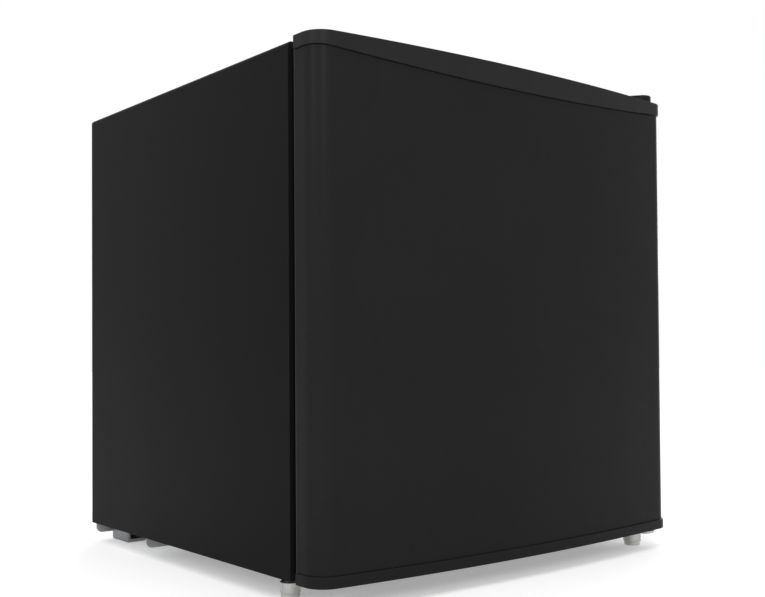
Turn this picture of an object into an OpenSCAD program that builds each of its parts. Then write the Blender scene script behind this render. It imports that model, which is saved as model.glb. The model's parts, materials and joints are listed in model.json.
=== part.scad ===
// Cube refrigerator with one door, a freezer box, and a compressor bay that is open at the back.
// Lengths are in millimetres. The origin is on the floor, below the centre of the whole fridge:
// X runs to the right along the door, Y runs from the door to the back, Z runs up.
// Inside place(), Y = 0 is the cabinet's front rim and Z = 0 is the cabinet's underside.

/* [Cabinet] */
// Width over the two side skins
cabinet_w = 467; // [455:1:500]
// Depth from the front rim to the back edge
cabinet_d = 406; // [400:1:440]
// Height without the feet
cabinet_h = 463; // [455:1:500]
// Thickness of the steel sheets
sheet_t = 1; // [0.8:0.1:1.2]
// Outer bend radius of the skin's two top edges
skin_r = 4; // [2:0.5:8]
// Insulated wall at each side
side_wall = 40; // [39:1:46]
// Insulated wall at the top
top_wall = 40; // [39:1:46]
// Insulated wall at the floor
floor_wall = 44; // [42:1:50]
// Insulated wall at the back
back_wall = 42; // [42:1:48]
// Thickness of the white inner liner
liner_t = 2; // [1.5:0.1:2.5]
// Radius of the liner's long corners
liner_r = 12; // [6:1:16]
// Width of the rim that holds the back panel
rear_rim = 12; // [8:1:16]

/* [Compressor bay] */
// Depth of the bay, from the back edge
bay_d = 154; // [152:1:160]
// Height of the bay
bay_h = 160; // [156:1:166]
// Insulation between the bay and the liner
bay_wall = 36; // [30:1:38]
// Thickness of the compressor's base plate
base_plate_t = 1.5; // [1.2:0.1:2]
// Drop of the base plate's front flange
base_flange = 12; // [8:1:14]
// Radius of the compressor's shell
compressor_r = 54; // [48:1:55]
// Height of the compressor's shell
compressor_h = 116; // [100:1:120]
// Height of the rubber grommets below the compressor's legs
grommet_h = 18; // [14:1:20]

/* [Door] */
// Gap between cabinet and door, which the gasket fills
door_gap = 9.5; // [8:0.5:12]
// Thickness of the door along its vertical edges
door_edge_t = 33; // [31:1:38]
// How far the middle of the door bows forward
door_bow = 14.5; // [8:0.5:18]
// Radius of the door's two front vertical edges
door_corner_r = 19; // [17:1:24]
// How far the door's skin stands past the cabinet at each side
door_overhang = 1.5; // [0:0.5:2]
// How far the door's top stands above the cabinet
door_rise = 1; // [0:0.5:1.5]
// How far the plastic caps stand proud of the door's skin
cap_proud = 1.9; // [1:0.1:2]
// Height of the top cap at its two ends
top_cap_h = 11.5; // [9:0.5:14]
// How much deeper the top cap is in the middle than at its ends
top_cap_dip = 11; // [6:0.5:14]
// Height of the bottom cap
bottom_cap_h = 10; // [8:0.5:14]
// Wall of the plastic caps
cap_wall = 3; // [2.5:0.1:3.5]
// Width of the grip recess in the top cap
grip_w = 120; // [90:1:160]
// Width of the gasket's band
gasket_w = 18; // [16:1:18]

/* [Door racks] */
// Depth of the two racks behind the door's liner
rack_d = 60; // [45:1:62]
// Height of the lower rack's floor
lower_rack_z = 65; // [64:1:80]
// Height of the upper rack's floor
upper_rack_z = 244; // [235:1:248]
// Height of the rails that keep bottles in
rail_h = 30; // [24:1:34]

/* [Hinges] */
// Distance of the hinge pins from the cabinet's right side
hinge_inset = 19; // [18:0.5:19]
// Distance of the hinge pins from the cabinet's front rim
hinge_reach = 29; // [29:0.5:30]
// Diameter of the hinge pins
pin_d = 7; // [6:0.5:8]
// Radial clearance of a pin in its bush
pin_play = 0.05; // [0.03:0.01:0.08]
// Thickness of the hinge brackets
bracket_t = 2.5; // [2:0.1:3]
// Height of the top hinge's cover
hinge_cover_h = 10.5; // [10:0.5:13]

/* [Feet] */
// Height of the cabinet above the floor
foot_h = 20; // [18:1:26]
// Diameter of the levelling feet
foot_d = 19; // [16:1:20]
// Diameter of the levelling feet's studs
stud_d = 8; // [6:1:8]
// Width of the two rear feet
rear_foot_w = 25; // [20:1:30]
// Length of the two rear feet
rear_foot_l = 40; // [30:1:42]

/* [Freezer box] */
// Gap between the freezer box and the left wall
evap_side_gap = 22; // [16:1:30]
// Gap between the freezer box and the back wall
evap_rear_gap = 22; // [20:1:40]
// Height of the freezer box
evap_h = 90; // [80:1:92]
// Sheet thickness of the freezer box
evap_t = 2; // [1.5:0.1:2.5]
// Distance of the freezer box's mouth from the cabinet's front rim
evap_front = 112; // [110:1:116]
// Drop of the drip tray's rails below the freezer box
rail_drop = 20; // [16:1:21]
// Thickness of the flap
flap_t = 5; // [4:0.5:5]

/* [Shelf] */
// Gap between the shelf's underside and the step over the compressor bay
shelf_gap = 9; // [8:1:19]
// Distance of the shelf's front edge from the front rim
shelf_front = 104; // [102:1:120]
// Thickness of the shelf's glass
glass_t = 4; // [3:0.5:5]

/* [Thermostat] */
// Gap between the freezer box and the thermostat's housing
housing_gap = 16; // [14:1:24]
// Gap between the thermostat's housing and the right wall
housing_side_gap = 17; // [8:1:24]
// Width of the thermostat's housing
housing_w = 92; // [80:1:94]
// Depth of the thermostat's housing
housing_d = 122; // [100:1:140]
// Height of the thermostat's housing
housing_h = 66; // [60:1:70]
// Diameter of the knob's skirt
knob_d = 40; // [34:1:44]

/* [Hidden] */
$fn = 48;

// Colours
BLACK_STEEL = [0.15, 0.15, 0.155];
BLACK_PLASTIC = [0.18, 0.18, 0.185];
LINER_WHITE = [0.93, 0.94, 0.94];
ZINC = [0.72, 0.73, 0.75];
GALVANISED = [0.62, 0.64, 0.66];
NICKEL = [0.82, 0.82, 0.80];
FOAM = [0.88, 0.80, 0.55];
COPPER = [0.78, 0.46, 0.30];
ALUMINIUM = [0.80, 0.82, 0.84];
RUBBER_BLACK = [0.10, 0.10, 0.10];
NYLON = [0.90, 0.89, 0.85];
GLASS = [0.75, 0.88, 0.86, 0.45];

// Common clearances
slip = 0.3;         // between a sliding or hanging piece and what carries it
snug = 0.1;         // round a fixed piece in its hole
past = 1;           // how far a cutter reaches past a face

// Driving places
half_w = cabinet_w / 2;
inner_w = half_w - sheet_t;
cav_w = half_w - side_wall;
cav_top = cabinet_h - top_wall;
cav_back = cabinet_d - back_wall;
bay_y = cabinet_d - bay_d;
step_y = bay_y - bay_wall;
step_z = bay_h + bay_wall;
shelf_z = step_z + shelf_gap;
rim_w = side_wall - liner_t;
rim_top = cav_top + liner_t;
rim_floor = floor_wall - liner_t;
rim_corner = rim_floor + liner_r + liner_t;
door_face = door_gap + door_edge_t;
door_depth = door_face + door_bow + cap_proud;
door_top = cabinet_h + door_rise;
front_y = -(cabinet_d - door_depth) / 2;

// Moves from the cabinet's own places to the fridge's origin.
module place() {
    translate([0, front_y, foot_h]) children();
}

// Draws a thing and its mirror image across the middle of the fridge.
module both() {
    children();
    mirror([1, 0, 0]) children();
}

// Box between two values on each axis.
module span(x, y, z) {
    translate([x[0], y[0], z[0]]) cube([x[1] - x[0], y[1] - y[0], z[1] - z[0]]);
}

// Prism that stands upright on a plan of (x, y) points.
module upright(points, z) {
    translate([0, 0, z[0]]) linear_extrude(z[1] - z[0]) polygon(points);
}

// Prism that runs from front to back behind a face of (x, z) points.
module fore_aft(points, y) {
    translate([0, y[1], 0]) rotate([90, 0, 0]) linear_extrude(y[1] - y[0]) polygon(points);
}

// Cylinder between two heights at a place in plan.
module post(at, d, z) {
    translate([at[0], at[1], z[0]]) cylinder(d = d, h = z[1] - z[0]);
}

// Points of an arc about c, from angle a0 to angle a1.
function arc(c, r, a0, a1, n = 8) =
    [for (i = [0:n]) let (a = a0 + (a1 - a0) * i / n) c + r * [cos(a), sin(a)]];

// Points of a rectangle with round corners, between two values on each axis.
function rounded(x, y, r, n = 6) = concat(
    arc([x[1] - r, y[1] - r], r, 0, 90, n),
    arc([x[0] + r, y[1] - r], r, 90, 180, n),
    arc([x[0] + r, y[0] + r], r, 180, 270, n),
    arc([x[1] - r, y[0] + r], r, 270, 360, n)
);

// Points of an upright sheet section: square at the base, round at its two top corners.
function arch(half, base, top, r) = concat(
    [[half, base]],
    arc([half - r, top - r], r, 0, 90, 6),
    arc([r - half, top - r], r, 90, 180, 6),
    [[-half, base]]
);

// ---- Tubes ----

// Straight stretch of tube between two points.
module tube_straight(a, b, d) {
    v = b - a;
    translate(a) rotate([0, acos(v.z / norm(v)), atan2(v.y, v.x)]) cylinder(d = d, h = norm(v));
}

// Bend of radius r at the corner p, coming along unit vector a and leaving along unit vector b.
module tube_bend(p, a, b, d, r) {
    turn = acos(a * b);
    side = (b - (a * b) * a) / sin(turn);
    centre = p - r * tan(turn / 2) * a + r * side;
    up = cross(-side, a);
    multmatrix([
        [-side.x, a.x, up.x, centre.x],
        [-side.y, a.y, up.y, centre.y],
        [-side.z, a.z, up.z, centre.z],
        [0, 0, 0, 1]
    ]) rotate_extrude(angle = turn) translate([r, 0]) circle(d = d);
}

// Length that the bend at point i of a route takes from each neighbouring stretch.
function bend_cut(pts, i, r) = (i == 0 || i == len(pts) - 1) ? 0 :
    let (
        a = (pts[i] - pts[i - 1]) / norm(pts[i] - pts[i - 1]),
        b = (pts[i + 1] - pts[i]) / norm(pts[i + 1] - pts[i])
    ) r * tan(acos(a * b) / 2);

// Round tube along a route of corner points, with every corner bent to radius r.
module tube(pts, d, r) {
    for (i = [0:len(pts) - 2]) {
        way = (pts[i + 1] - pts[i]) / norm(pts[i + 1] - pts[i]);
        tube_straight(pts[i] + way * bend_cut(pts, i, r), pts[i + 1] - way * bend_cut(pts, i + 1, r), d);
    }
    for (i = [1:1:len(pts) - 2]) {
        a = (pts[i] - pts[i - 1]) / norm(pts[i] - pts[i - 1]);
        b = (pts[i + 1] - pts[i]) / norm(pts[i + 1] - pts[i]);
        tube_bend(pts[i], a, b, d, r);
    }
}

// ---- Screws ----
screw_d = 5;
screw_head_d = 9;
screw_head_h = 2.5;
screw_tail = 4;                         // length of a screw beyond the last sheet that it holds
backing_t = 4;

// Pan-head screw at a place in plan: its head lies above z, its shank runs down by the given length.
module screw(at, z, shank) {
    post(at, screw_d, [z - shank, z]);
    post(at, screw_head_d, [z, z + screw_head_h]);
}

// The same screw from below: its head hangs under z.
module screw_up(at, z, shank) {
    post(at, screw_d, [z, z + shank]);
    post(at, screw_head_d, [z - screw_head_h, z]);
}

// ---- Cabinet ----
base_front = bay_y + 25;                // front edge of the compressor's base plate
base_lap = 12;                          // overlap of bottom panel and base plate
return_w = 26;                          // width of the skin's bottom returns beside the bay
rear_foot_x = [half_w - 21 - rear_foot_w, half_w - 21];
rear_foot_y = [cabinet_d - 7 - rear_foot_l, cabinet_d - 7];
base_half = half_w - 4;
base_screw_x = half_w - 20;               // screws that go up into the bottom returns
base_screw_d = screw_d + 2 * snug;
base_screws = [
    [34 - base_screw_x, base_front + base_lap / 2],
    [0, base_front + base_lap / 2],
    [base_screw_x - 34, base_front + base_lap / 2],
    [-base_screw_x, rear_foot_y[0] - 12],
    [base_screw_x, rear_foot_y[0] - 12]
];

// Hinge places: the pin's axis, the screws behind it and the levelling foot beside the lower pin
hinge = [half_w - hinge_inset, -hinge_reach];
hinge_screws = [hinge + [2, 45], hinge + [-28, 63], hinge + [2, 81]];
right_foot = hinge + [-6, 13.5];
left_foot = [-half_w + 19, 28];
function mirrored(p) = [-p[0], p[1]];

// Opening in the cabinet's front rim, which the liner's edge fills.
module rim_opening() {
    fore_aft(
        rounded([-half_w + rim_w, half_w - rim_w], [rim_floor, rim_top], liner_r + liner_t),
        [-past, 2 * past]
    );
}

module cabinet_wrapper() {
    color(BLACK_STEEL) place() difference() {
        union() {
            difference() {
                fore_aft(arch(half_w, 0, cabinet_h, skin_r), [0, cabinet_d]);
                fore_aft(
                    arch(inner_w, -past, cabinet_h - sheet_t, skin_r - sheet_t),
                    [sheet_t, cabinet_d - sheet_t]
                );
                rim_opening();
                span([-half_w + rim_w, half_w - rim_w], [-past, 2 * past], [-past, rim_corner]);
                span(
                    [-half_w + rear_rim, half_w - rear_rim],
                    [cabinet_d - 2 * past, cabinet_d + past], [-past, cabinet_h - rear_rim]
                );
            }
            both() span(
                [half_w - return_w, inner_w],
                [base_front + base_lap, cabinet_d - sheet_t], [0, sheet_t]
            );
        }
        for (p = hinge_screws, q = [p, mirrored(p)]) {
            post(q, screw_d + 2 * snug, [cabinet_h - sheet_t - past, cabinet_h + past]);
        }
        for (p = base_screws) post(p, base_screw_d, [-past, sheet_t + past]);
    }
}

module bottom_panel() {
    color(BLACK_STEEL) place() difference() {
        union() {
            span([-inner_w, inner_w], [sheet_t, base_front + base_lap], [0, sheet_t]);
            span([-half_w + rim_w, half_w - rim_w], [0, sheet_t], [0, rim_corner]);
        }
        rim_opening();
        for (p = hinge_screws) post(p, screw_d + 2 * snug, [-past, sheet_t + past]);
        for (p = base_screws) post(p, base_screw_d, [-past, sheet_t + past]);
        post(left_foot, stud_d + 2, [-past, sheet_t + past]);
    }
}

// Steel plates in the foam that the hinge screws and the left foot's stud are threaded into.
backing_x = [hinge[0] - 42, half_w - 6];
backing_y = [8, hinge_screws[2][1] + 12];
foot_plate_x = [-half_w + 5, -half_w + 35];
foot_plate_y = [12, 46];

module backing_plate(z) {
    difference() {
        span(backing_x, backing_y, z);
        for (p = hinge_screws) post(p, screw_d + 2 * snug, [z[0] - past, z[1] + past]);
    }
}

module hinge_backing_plates() {
    color(ZINC) place() {
        backing_plate([cabinet_h - sheet_t - backing_t, cabinet_h - sheet_t]);
        backing_plate([sheet_t, sheet_t + backing_t]);
        difference() {
            span(foot_plate_x, foot_plate_y, [sheet_t, sheet_t + backing_t]);
            post(left_foot, stud_d, [0, sheet_t + backing_t + past]);
        }
    }
}

rib_h = 0.8;
module back_panel() {
    panel = [cabinet_d - 2 * sheet_t, cabinet_d - sheet_t];
    color(BLACK_STEEL) place() union() {
        fore_aft(arch(inner_w, bay_h - sheet_t, cabinet_h - sheet_t, skin_r - sheet_t), panel);
        for (i = [0:3]) {
            z = bay_h + 50 + i * (cabinet_h - bay_h - 100) / 3;
            fore_aft(
                rounded([-half_w + 45, half_w - 45], [z - 6, z + 6], 5.5),
                [panel[1], panel[1] + rib_h]
            );
        }
    }
}

// Places where the refrigerant tubes pass the bay's roof
suction_x = -100;
capillary_x = -85;
condenser_x = half_w - 28.5;
riser_y = cabinet_d - 23;
capillary_y = cabinet_d - 11;
tube_d = 7;
condenser_d = 5;
capillary_d = 2.4;
tube_hole = 1.2;

module bay_panel() {
    color(GALVANISED) place() difference() {
        union() {
            span([-inner_w, inner_w], [bay_y, bay_y + sheet_t], [sheet_t, bay_h]);
            span([-inner_w, inner_w], [bay_y, cabinet_d - 2 * sheet_t], [bay_h - sheet_t, bay_h]);
        }
        roof = [bay_h - sheet_t - past, bay_h + past];
        post([suction_x, riser_y], tube_d + tube_hole, roof);
        post([capillary_x, capillary_y], capillary_d + tube_hole, roof);
        both() post([condenser_x, riser_y], condenser_d + tube_hole, roof);
    }
}

// Space inside the liner, grown on every side by g.
module cavity(g) {
    fore_aft(
        rounded([-cav_w - g, cav_w + g], [floor_wall - g, cav_top + g], liner_r + g),
        [-past, step_y + g]
    );
    fore_aft(
        rounded([-cav_w - g, cav_w + g], [step_z - g, cav_top + g], liner_r + g),
        [-past, cav_back + g]
    );
}

runner_w = 8;
runner_h = 4;
shelf_levels = [shelf_z, shelf_z + 55];

module inner_liner() {
    color(LINER_WHITE) place() difference() {
        union() {
            difference() {
                cavity(liner_t);
                cavity(0);
                span([-half_w, half_w], [-2 * past, 0], [0, cabinet_h]);
            }
            for (z = shelf_levels) both() span(
                [cav_w - runner_w, cav_w], [75, cav_back], [z - runner_h - slip, z - slip]
            );
        }
        for (p = evap_hangers) post(p, hanger_screw_d + 2 * snug, [cav_top - past, cav_top + liner_t + past]);
        back = [cav_back - past, cav_back + liner_t + past];
        translate([suction_x, back[0], suction_z]) rotate([-90, 0, 0])
            cylinder(d = tube_d + tube_hole, h = back[1] - back[0]);
        translate([capillary_x, back[0], injection_z]) rotate([-90, 0, 0])
            cylinder(d = capillary_d + tube_hole, h = back[1] - back[0]);
    }
}

condenser_duct = condenser_d + 2 * tube_hole;

module cabinet_insulation() {
    duct = condenser_duct / 2;
    color(FOAM) place() difference() {
        fore_aft(
            arch(inner_w, sheet_t, cabinet_h - sheet_t, skin_r - sheet_t),
            [sheet_t, cabinet_d - 2 * sheet_t]
        );
        cavity(liner_t);
        span([-half_w, half_w], [bay_y, cabinet_d], [0, bay_h]);
        span(backing_x, backing_y, [cabinet_h - sheet_t - backing_t, cabinet_h]);
        span(backing_x, backing_y, [0, sheet_t + backing_t]);
        span(foot_plate_x, foot_plate_y, [0, sheet_t + backing_t]);
        post(left_foot, stud_d + 4, [0, left_stud_top + 2]);
        // Recess at each side for the condenser's rows, and the ducts that lead to it
        both() span(
            [inner_w - condenser_duct, half_w],
            [row_front - condenser_duct, riser_y + duct], [row_low - 10, row_high + 10]
        );
        both() span(
            [condenser_x - duct, half_w], [riser_y - duct, riser_y + duct], [bay_h - past, row_low + duct]
        );
        span([-half_w, half_w], [riser_y - duct, riser_y + duct], [row_high - duct, row_high + duct]);
        // Duct for the suction tube and the capillary
        span(
            [suction_x - tube_d, capillary_x + tube_d],
            [cav_back + liner_t, capillary_y + tube_d / 2], [bay_h - past, suction_z + tube_d]
        );
    }
}

module cabinet_hole_plugs() {
    color(BLACK_PLASTIC) place() for (p = hinge_screws) {
        post(mirrored(p), screw_d, [cabinet_h - sheet_t, cabinet_h]);
        post(mirrored(p), screw_head_d, [cabinet_h, cabinet_h + 1.2]);
    }
}

// ---- Hinges ----
bracket_lift = 3;                       // gap of a bracket's nose above or below the cabinet's face
bracket_back = backing_y[1] - 4;
bracket_nose = 9.5;
flare = 34;
flare_a = 36;

// Plan of a hinge bracket or its cover: a round nose at the pin, flaring out towards the screws.
function hinge_plan(g, back) =
    let (t = (flare + g * (1 - cos(flare_a))) / sin(flare_a))
    concat(
        arc(hinge, g, 0, flare_a - 180, 12),
        [hinge + g * [-cos(flare_a), -sin(flare_a)] + t * [-sin(flare_a), cos(flare_a)]],
        [[hinge[0] - flare - g, back]],
        [[hinge[0] + g, back]]
    );

// Cranked bracket in the pose of the top hinge, with its rear part flat on z = 0.
module hinge_bracket() {
    crank = 2;
    plan = hinge_plan(bracket_nose, bracket_back);
    difference() {
        union() {
            intersection() {
                upright(plan, [0, bracket_t]);
                span([0, half_w], [crank, cabinet_d], [-past, 2 * bracket_t]);
            }
            intersection() {
                upright(plan, [0, bracket_lift + bracket_t]);
                span([0, half_w], [crank, crank + bracket_t], [-past, 3 * bracket_t]);
            }
            intersection() {
                upright(plan, [bracket_lift, bracket_lift + bracket_t]);
                span([0, half_w], [-2 * hinge_reach, crank + bracket_t], [-past, 3 * bracket_t]);
            }
        }
        post(hinge, pin_d, [-past, 4 * bracket_t]);
        for (p = hinge_screws) post(p, screw_d + 2 * snug, [-past, bracket_t + past]);
    }
}

module top_hinge_bracket() {
    color(ZINC) place() translate([0, 0, cabinet_h]) hinge_bracket();
}

module bottom_hinge_bracket() {
    nose = [-bracket_lift - bracket_t - past, past - bracket_lift];
    color(ZINC) place() difference() {
        mirror([0, 0, 1]) hinge_bracket();
        post(right_foot, stud_d, nose);
    }
}

bush_l = 12;
bush_d = 12;
rivet_d = 10;
rivet_h = 1.2;

module top_hinge_pin() {
    top = cabinet_h + bracket_lift + bracket_t;
    color(NICKEL) place() {
        post(hinge, pin_d, [door_top - bush_l + past, top]);
        post(hinge, rivet_d, [top, top + rivet_h]);
    }
}

module bottom_hinge_pin() {
    low = -bracket_lift - bracket_t;
    color(NICKEL) place() {
        post(hinge, pin_d, [low, bush_l - past]);
        post(hinge, rivet_d, [low - rivet_h, low]);
    }
}

module hinge_washer() {
    color(NYLON) place() difference() {
        post(hinge, 14, [-bracket_lift, -pin_play]);
        post(hinge, pin_d, [-bracket_lift - past, past]);
    }
}

screw_l = bracket_t + sheet_t + backing_t;

module top_hinge_screws() {
    color(NICKEL) place() for (p = hinge_screws) screw(p, cabinet_h + bracket_t, screw_l);
}

module bottom_hinge_screws() {
    color(NICKEL) place() for (p = hinge_screws) screw_up(p, -bracket_t, screw_l);
}

cover_wall = 1.5;
module top_hinge_cover() {
    top = cabinet_h + hinge_cover_h;
    inside = bracket_nose + slip;
    door_slot = door_top + 0.8;
    color(BLACK_PLASTIC) place() difference() {
        upright(hinge_plan(inside + cover_wall, bracket_back + slip + cover_wall), [cabinet_h, top]);
        upright(hinge_plan(inside, bracket_back + slip), [cabinet_h - past, top - cover_wall]);
        span([0, cabinet_w], [-cabinet_d, past], [cabinet_h - past, door_slot]);
    }
}

// ---- Feet ----
foot_pad_h = foot_h - bracket_lift - bracket_t - 0.5;
foot_chamfer = 2;
left_stud_top = 12;

// Levelling foot with its underside on the floor: a chamfered pad and a stud up to the given height.
module levelling_foot(at, stud_top) {
    r = foot_d / 2;
    stud_r = stud_d / 2 - pin_play;
    low = -foot_h;
    top = low + foot_pad_h;
    translate([at[0], at[1], 0]) rotate_extrude() polygon([
        [0, low], [r - foot_chamfer, low], [r, low + foot_chamfer],
        [r, top - foot_chamfer / 2], [r - foot_chamfer / 2, top],
        [stud_r, top], [stud_r, stud_top], [0, stud_top]
    ]);
}

module front_left_foot() {
    color(NICKEL) place() levelling_foot(left_foot, left_stud_top);
}

module front_right_foot() {
    color(NICKEL) place() levelling_foot(right_foot, -bracket_lift + past);
}

// The rear feet are pressed boxes with a recess in front.
rear_foot_wall = 4;
rear_foot_recess = 22;

module rear_feet() {
    wall = rear_foot_wall;
    color(GALVANISED) place() both() difference() {
        upright(rounded(rear_foot_x, rear_foot_y, wall - 1), [-foot_h, -base_plate_t]);
        span(
            [rear_foot_x[0] + wall, rear_foot_x[1] - wall],
            [rear_foot_y[0] - past, rear_foot_y[0] + rear_foot_recess],
            [-foot_h + wall, -base_plate_t - wall / 2]
        );
    }
}

// ---- Compressor bay ----
compressor = [20, bay_y + bay_d / 2 + 1];
leg_t = 2.5;
leg_half = [92, 46];
leg_r = 12;
mount_half = [80, 28];
mount_holes = [
    for (sx = [-1, 1], sy = [-1, 1])
        [compressor[0] + sx * mount_half[0], compressor[1] + sy * mount_half[1]]
];
grommet_d = 22;
grommet_neck_d = 13;
grommet_cap_d = 19;
grommet_cap_h = 4;
bolt_d = 6;
bolt_head_d = 11;
bolt_head_h = 3;
nut_h = 5;
bolt_washer_d = 15;
bolt_washer_t = 1.5;
flange_r = 7;
base_setback = 2;
gland = [84 - half_w, cabinet_d - 28];
gland_d = 16;
gland_lip = 2.5;
gland_bore = 8;

module compressor_base_plate() {
    rear_y = cabinet_d - base_setback;
    color(GALVANISED) place() difference() {
        union() {
            span([-base_half, base_half], [base_front, rear_y], [-base_plate_t, 0]);
            fore_aft(
                rounded([-base_half, base_half], [-base_flange, base_flange], flange_r),
                [base_front, base_front + base_plate_t]
            );
            fore_aft(
                rounded([-base_half, base_half], [-base_flange, base_flange], flange_r),
                [rear_y - base_plate_t, rear_y]
            );
        }
        span([-cabinet_w, cabinet_w], [0, cabinet_d + past], [0, 2 * base_flange]);
        for (p = base_screws) post(p, base_screw_d, [-base_plate_t - past, past]);
        for (p = mount_holes) post(p, bolt_d + 2 * snug, [-base_plate_t - past, past]);
        post(gland, gland_d, [-base_plate_t - past, past]);
    }
}

module base_plate_screws() {
    color(NICKEL) place() for (p = base_screws) {
        screw_up(p, -base_plate_t, base_plate_t + sheet_t + screw_tail);
    }
}

module cord_gland() {
    low = -base_plate_t - gland_lip + slip;
    color(RUBBER_BLACK) place() difference() {
        union() {
            post(gland, gland_d, [low, 2 * gland_lip]);
            post(gland, gland_d + 2 * gland_lip, [0, gland_lip]);
            post(gland, gland_d + 2 * gland_lip, [low, -base_plate_t]);
        }
        post(gland, gland_bore, [low - past, 2 * gland_lip + past]);
    }
}

// Heights of the seats in a grommet's stack: the leg's underside, the leg's top and the cap's top
leg_low = grommet_h;
leg_top = grommet_h + leg_t;
cap_top = leg_top + grommet_cap_h;

module compressor_grommets() {
    color(RUBBER_BLACK) place() for (p = mount_holes) difference() {
        union() {
            post(p, grommet_d, [0, leg_low]);
            post(p, grommet_neck_d, [leg_low, leg_top]);
            post(p, grommet_cap_d, [leg_top, cap_top]);
        }
        post(p, bolt_d + 2 * snug, [-past, cap_top + past]);
    }
}

module grommet_bolts() {
    low = -base_plate_t - bolt_head_h;
    nut_z = cap_top + bolt_washer_t;
    color(NICKEL) place() for (p = mount_holes) {
        post(p, bolt_d, [low, nut_z + nut_h + past]);
        post(p, bolt_head_d, [low, -base_plate_t]);
        post(p, bolt_washer_d, [cap_top, nut_z]);
        translate([p[0], p[1], nut_z]) cylinder(d = bolt_head_d, h = nut_h, $fn = 6);
    }
}

module compressor_legs() {
    x = [compressor[0] - leg_half[0], compressor[0] + leg_half[0]];
    y = [compressor[1] - leg_half[1], compressor[1] + leg_half[1]];
    color(RUBBER_BLACK) place() difference() {
        upright(rounded(x, y, leg_r), [leg_low, leg_top]);
        for (p = mount_holes) post(p, grommet_neck_d, [leg_low - past, leg_top + past]);
    }
}

// Compressor: a lower and an upper drawn cup, welded together at a collar
shell_low = leg_top;
shell_top = shell_low + compressor_h;
cup_r = 22;
dome_r = 30;
collar_z = shell_low + 62;
collar_h = 3;
collar_out = 2.5;
terminal_z = shell_low + 50;
terminal_d = 26;
terminal_l = 4;

module compressor_shell() {
    r = compressor_r;
    color(RUBBER_BLACK) place() {
        translate([compressor[0], compressor[1], 0]) rotate_extrude() polygon(concat(
            [[0, shell_low]],
            arc([r - cup_r, shell_low + cup_r], cup_r, -90, 0, 6),
            [
                [r, collar_z], [r + collar_out, collar_z],
                [r + collar_out, collar_z + collar_h], [r, collar_z + collar_h]
            ],
            arc([r - dome_r, shell_top - dome_r], dome_r, 0, 80, 6),
            [[0, shell_top]]
        ));
        translate([compressor[0] + r - terminal_d / 2, compressor[1], terminal_z]) rotate([0, 90, 0])
            cylinder(d = terminal_d, h = terminal_d / 2 + terminal_l);
    }
}

relay_w = 46;
relay_d = 26;
relay_h = 51;
relay_groove = 4;

module relay_cover() {
    x = compressor[0] + compressor_r + terminal_l;
    y = [compressor[1] - relay_w / 2, compressor[1] + relay_w / 2];
    z = [terminal_z - relay_h / 2, terminal_z + relay_h / 2];
    groove_y = [y[0] + 2 * relay_groove, y[1] - 2 * relay_groove];
    color(BLACK_PLASTIC) place() difference() {
        translate([x, 0, 0]) rotate([90, 0, 90]) linear_extrude(relay_d) polygon(rounded(y, z, 5));
        for (groove_z = [z[0] + 2 * relay_groove, z[1] - 3 * relay_groove]) {
            span(
                [x + relay_d - relay_groove, x + relay_d + past],
                groove_y, [groove_z, groove_z + relay_groove]
            );
        }
    }
}

// Routes of the refrigerant tubes
tube_r = 10;
capillary_r = 5;
suction_z = cav_top - 53;
injection_z = suction_z - 20;
suction_port = terminal_z + 30;
discharge_port = terminal_z - 12;
joint_z = bay_h - 10;
process_y = compressor[1] + compressor_r;
process_out = 9;
process_l = 46;
discharge_x = suction_x - 30;

module suction_tube() {
    color(COPPER) place() tube([
        [compressor[0] - compressor_r, compressor[1], suction_port],
        [suction_x, compressor[1], suction_port],
        [suction_x, riser_y, suction_port],
        [suction_x, riser_y, suction_z],
        [suction_x, evap_back, suction_z]
    ], tube_d, tube_r);
}

module discharge_tube() {
    color(COPPER) place() tube([
        [compressor[0] - compressor_r, compressor[1], discharge_port],
        [discharge_x, compressor[1], discharge_port],
        [discharge_x, riser_y, discharge_port],
        [-condenser_x, riser_y, discharge_port],
        [-condenser_x, riser_y, joint_z]
    ], condenser_d, tube_r);
}

module process_tube() {
    color(COPPER) place() tube([
        [compressor[0], process_y, discharge_port],
        [compressor[0], process_y + process_out, discharge_port],
        [compressor[0], process_y + process_out, discharge_port + process_l]
    ], condenser_d, capillary_r);
}

// The condenser's rows run front to back against each side skin, and cross over behind the liner.
row_front = 60;
row_back = cabinet_d - 56;
row_low = bay_h + 45;
row_high = cav_top + 8;
row_count = 6;
row_step = (row_high - row_low) / (row_count - 1);
row_x = inner_w - condenser_d / 2 - snug;

// Corner points of one side's rows, from the lowest at the back to the highest at the back.
function condenser_rows(x) = [
    for (i = [0:row_count - 1]) let (
        z = row_low + i * row_step,
        near = i % 2 == 0 ? (i == 0 ? riser_y : row_back) : row_front,
        far = i % 2 == 0 ? row_front : (i == row_count - 1 ? riser_y : row_back)
    ) each [[x, near, z], [x, far, z]]
];
function reversed(list) = [for (i = [len(list) - 1:-1:0]) list[i]];

module condenser_tube() {
    color(COPPER) place() tube(concat(
        [[-condenser_x, riser_y, joint_z], [-condenser_x, riser_y, row_low]],
        condenser_rows(-row_x),
        reversed(condenser_rows(row_x)),
        [[condenser_x, riser_y, row_low], [condenser_x, riser_y, joint_z]]
    ), condenser_d, tube_r);
}

drier_r = 8;
drier_top = joint_z - 10;
drier_low = drier_top - 65;
drier_neck = drier_low - 9;
drier_neck_r = capillary_d / 2 + 0.8;

module filter_drier() {
    color(COPPER) place() translate([condenser_x, riser_y, 0]) rotate_extrude() polygon([
        [0, drier_neck], [drier_neck_r, drier_neck], [drier_neck_r, drier_low],
        [drier_r, drier_low + drier_r], [drier_r, drier_top - drier_r],
        [condenser_d / 2, drier_top], [condenser_d / 2, joint_z], [0, joint_z]
    ]);
}

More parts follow.
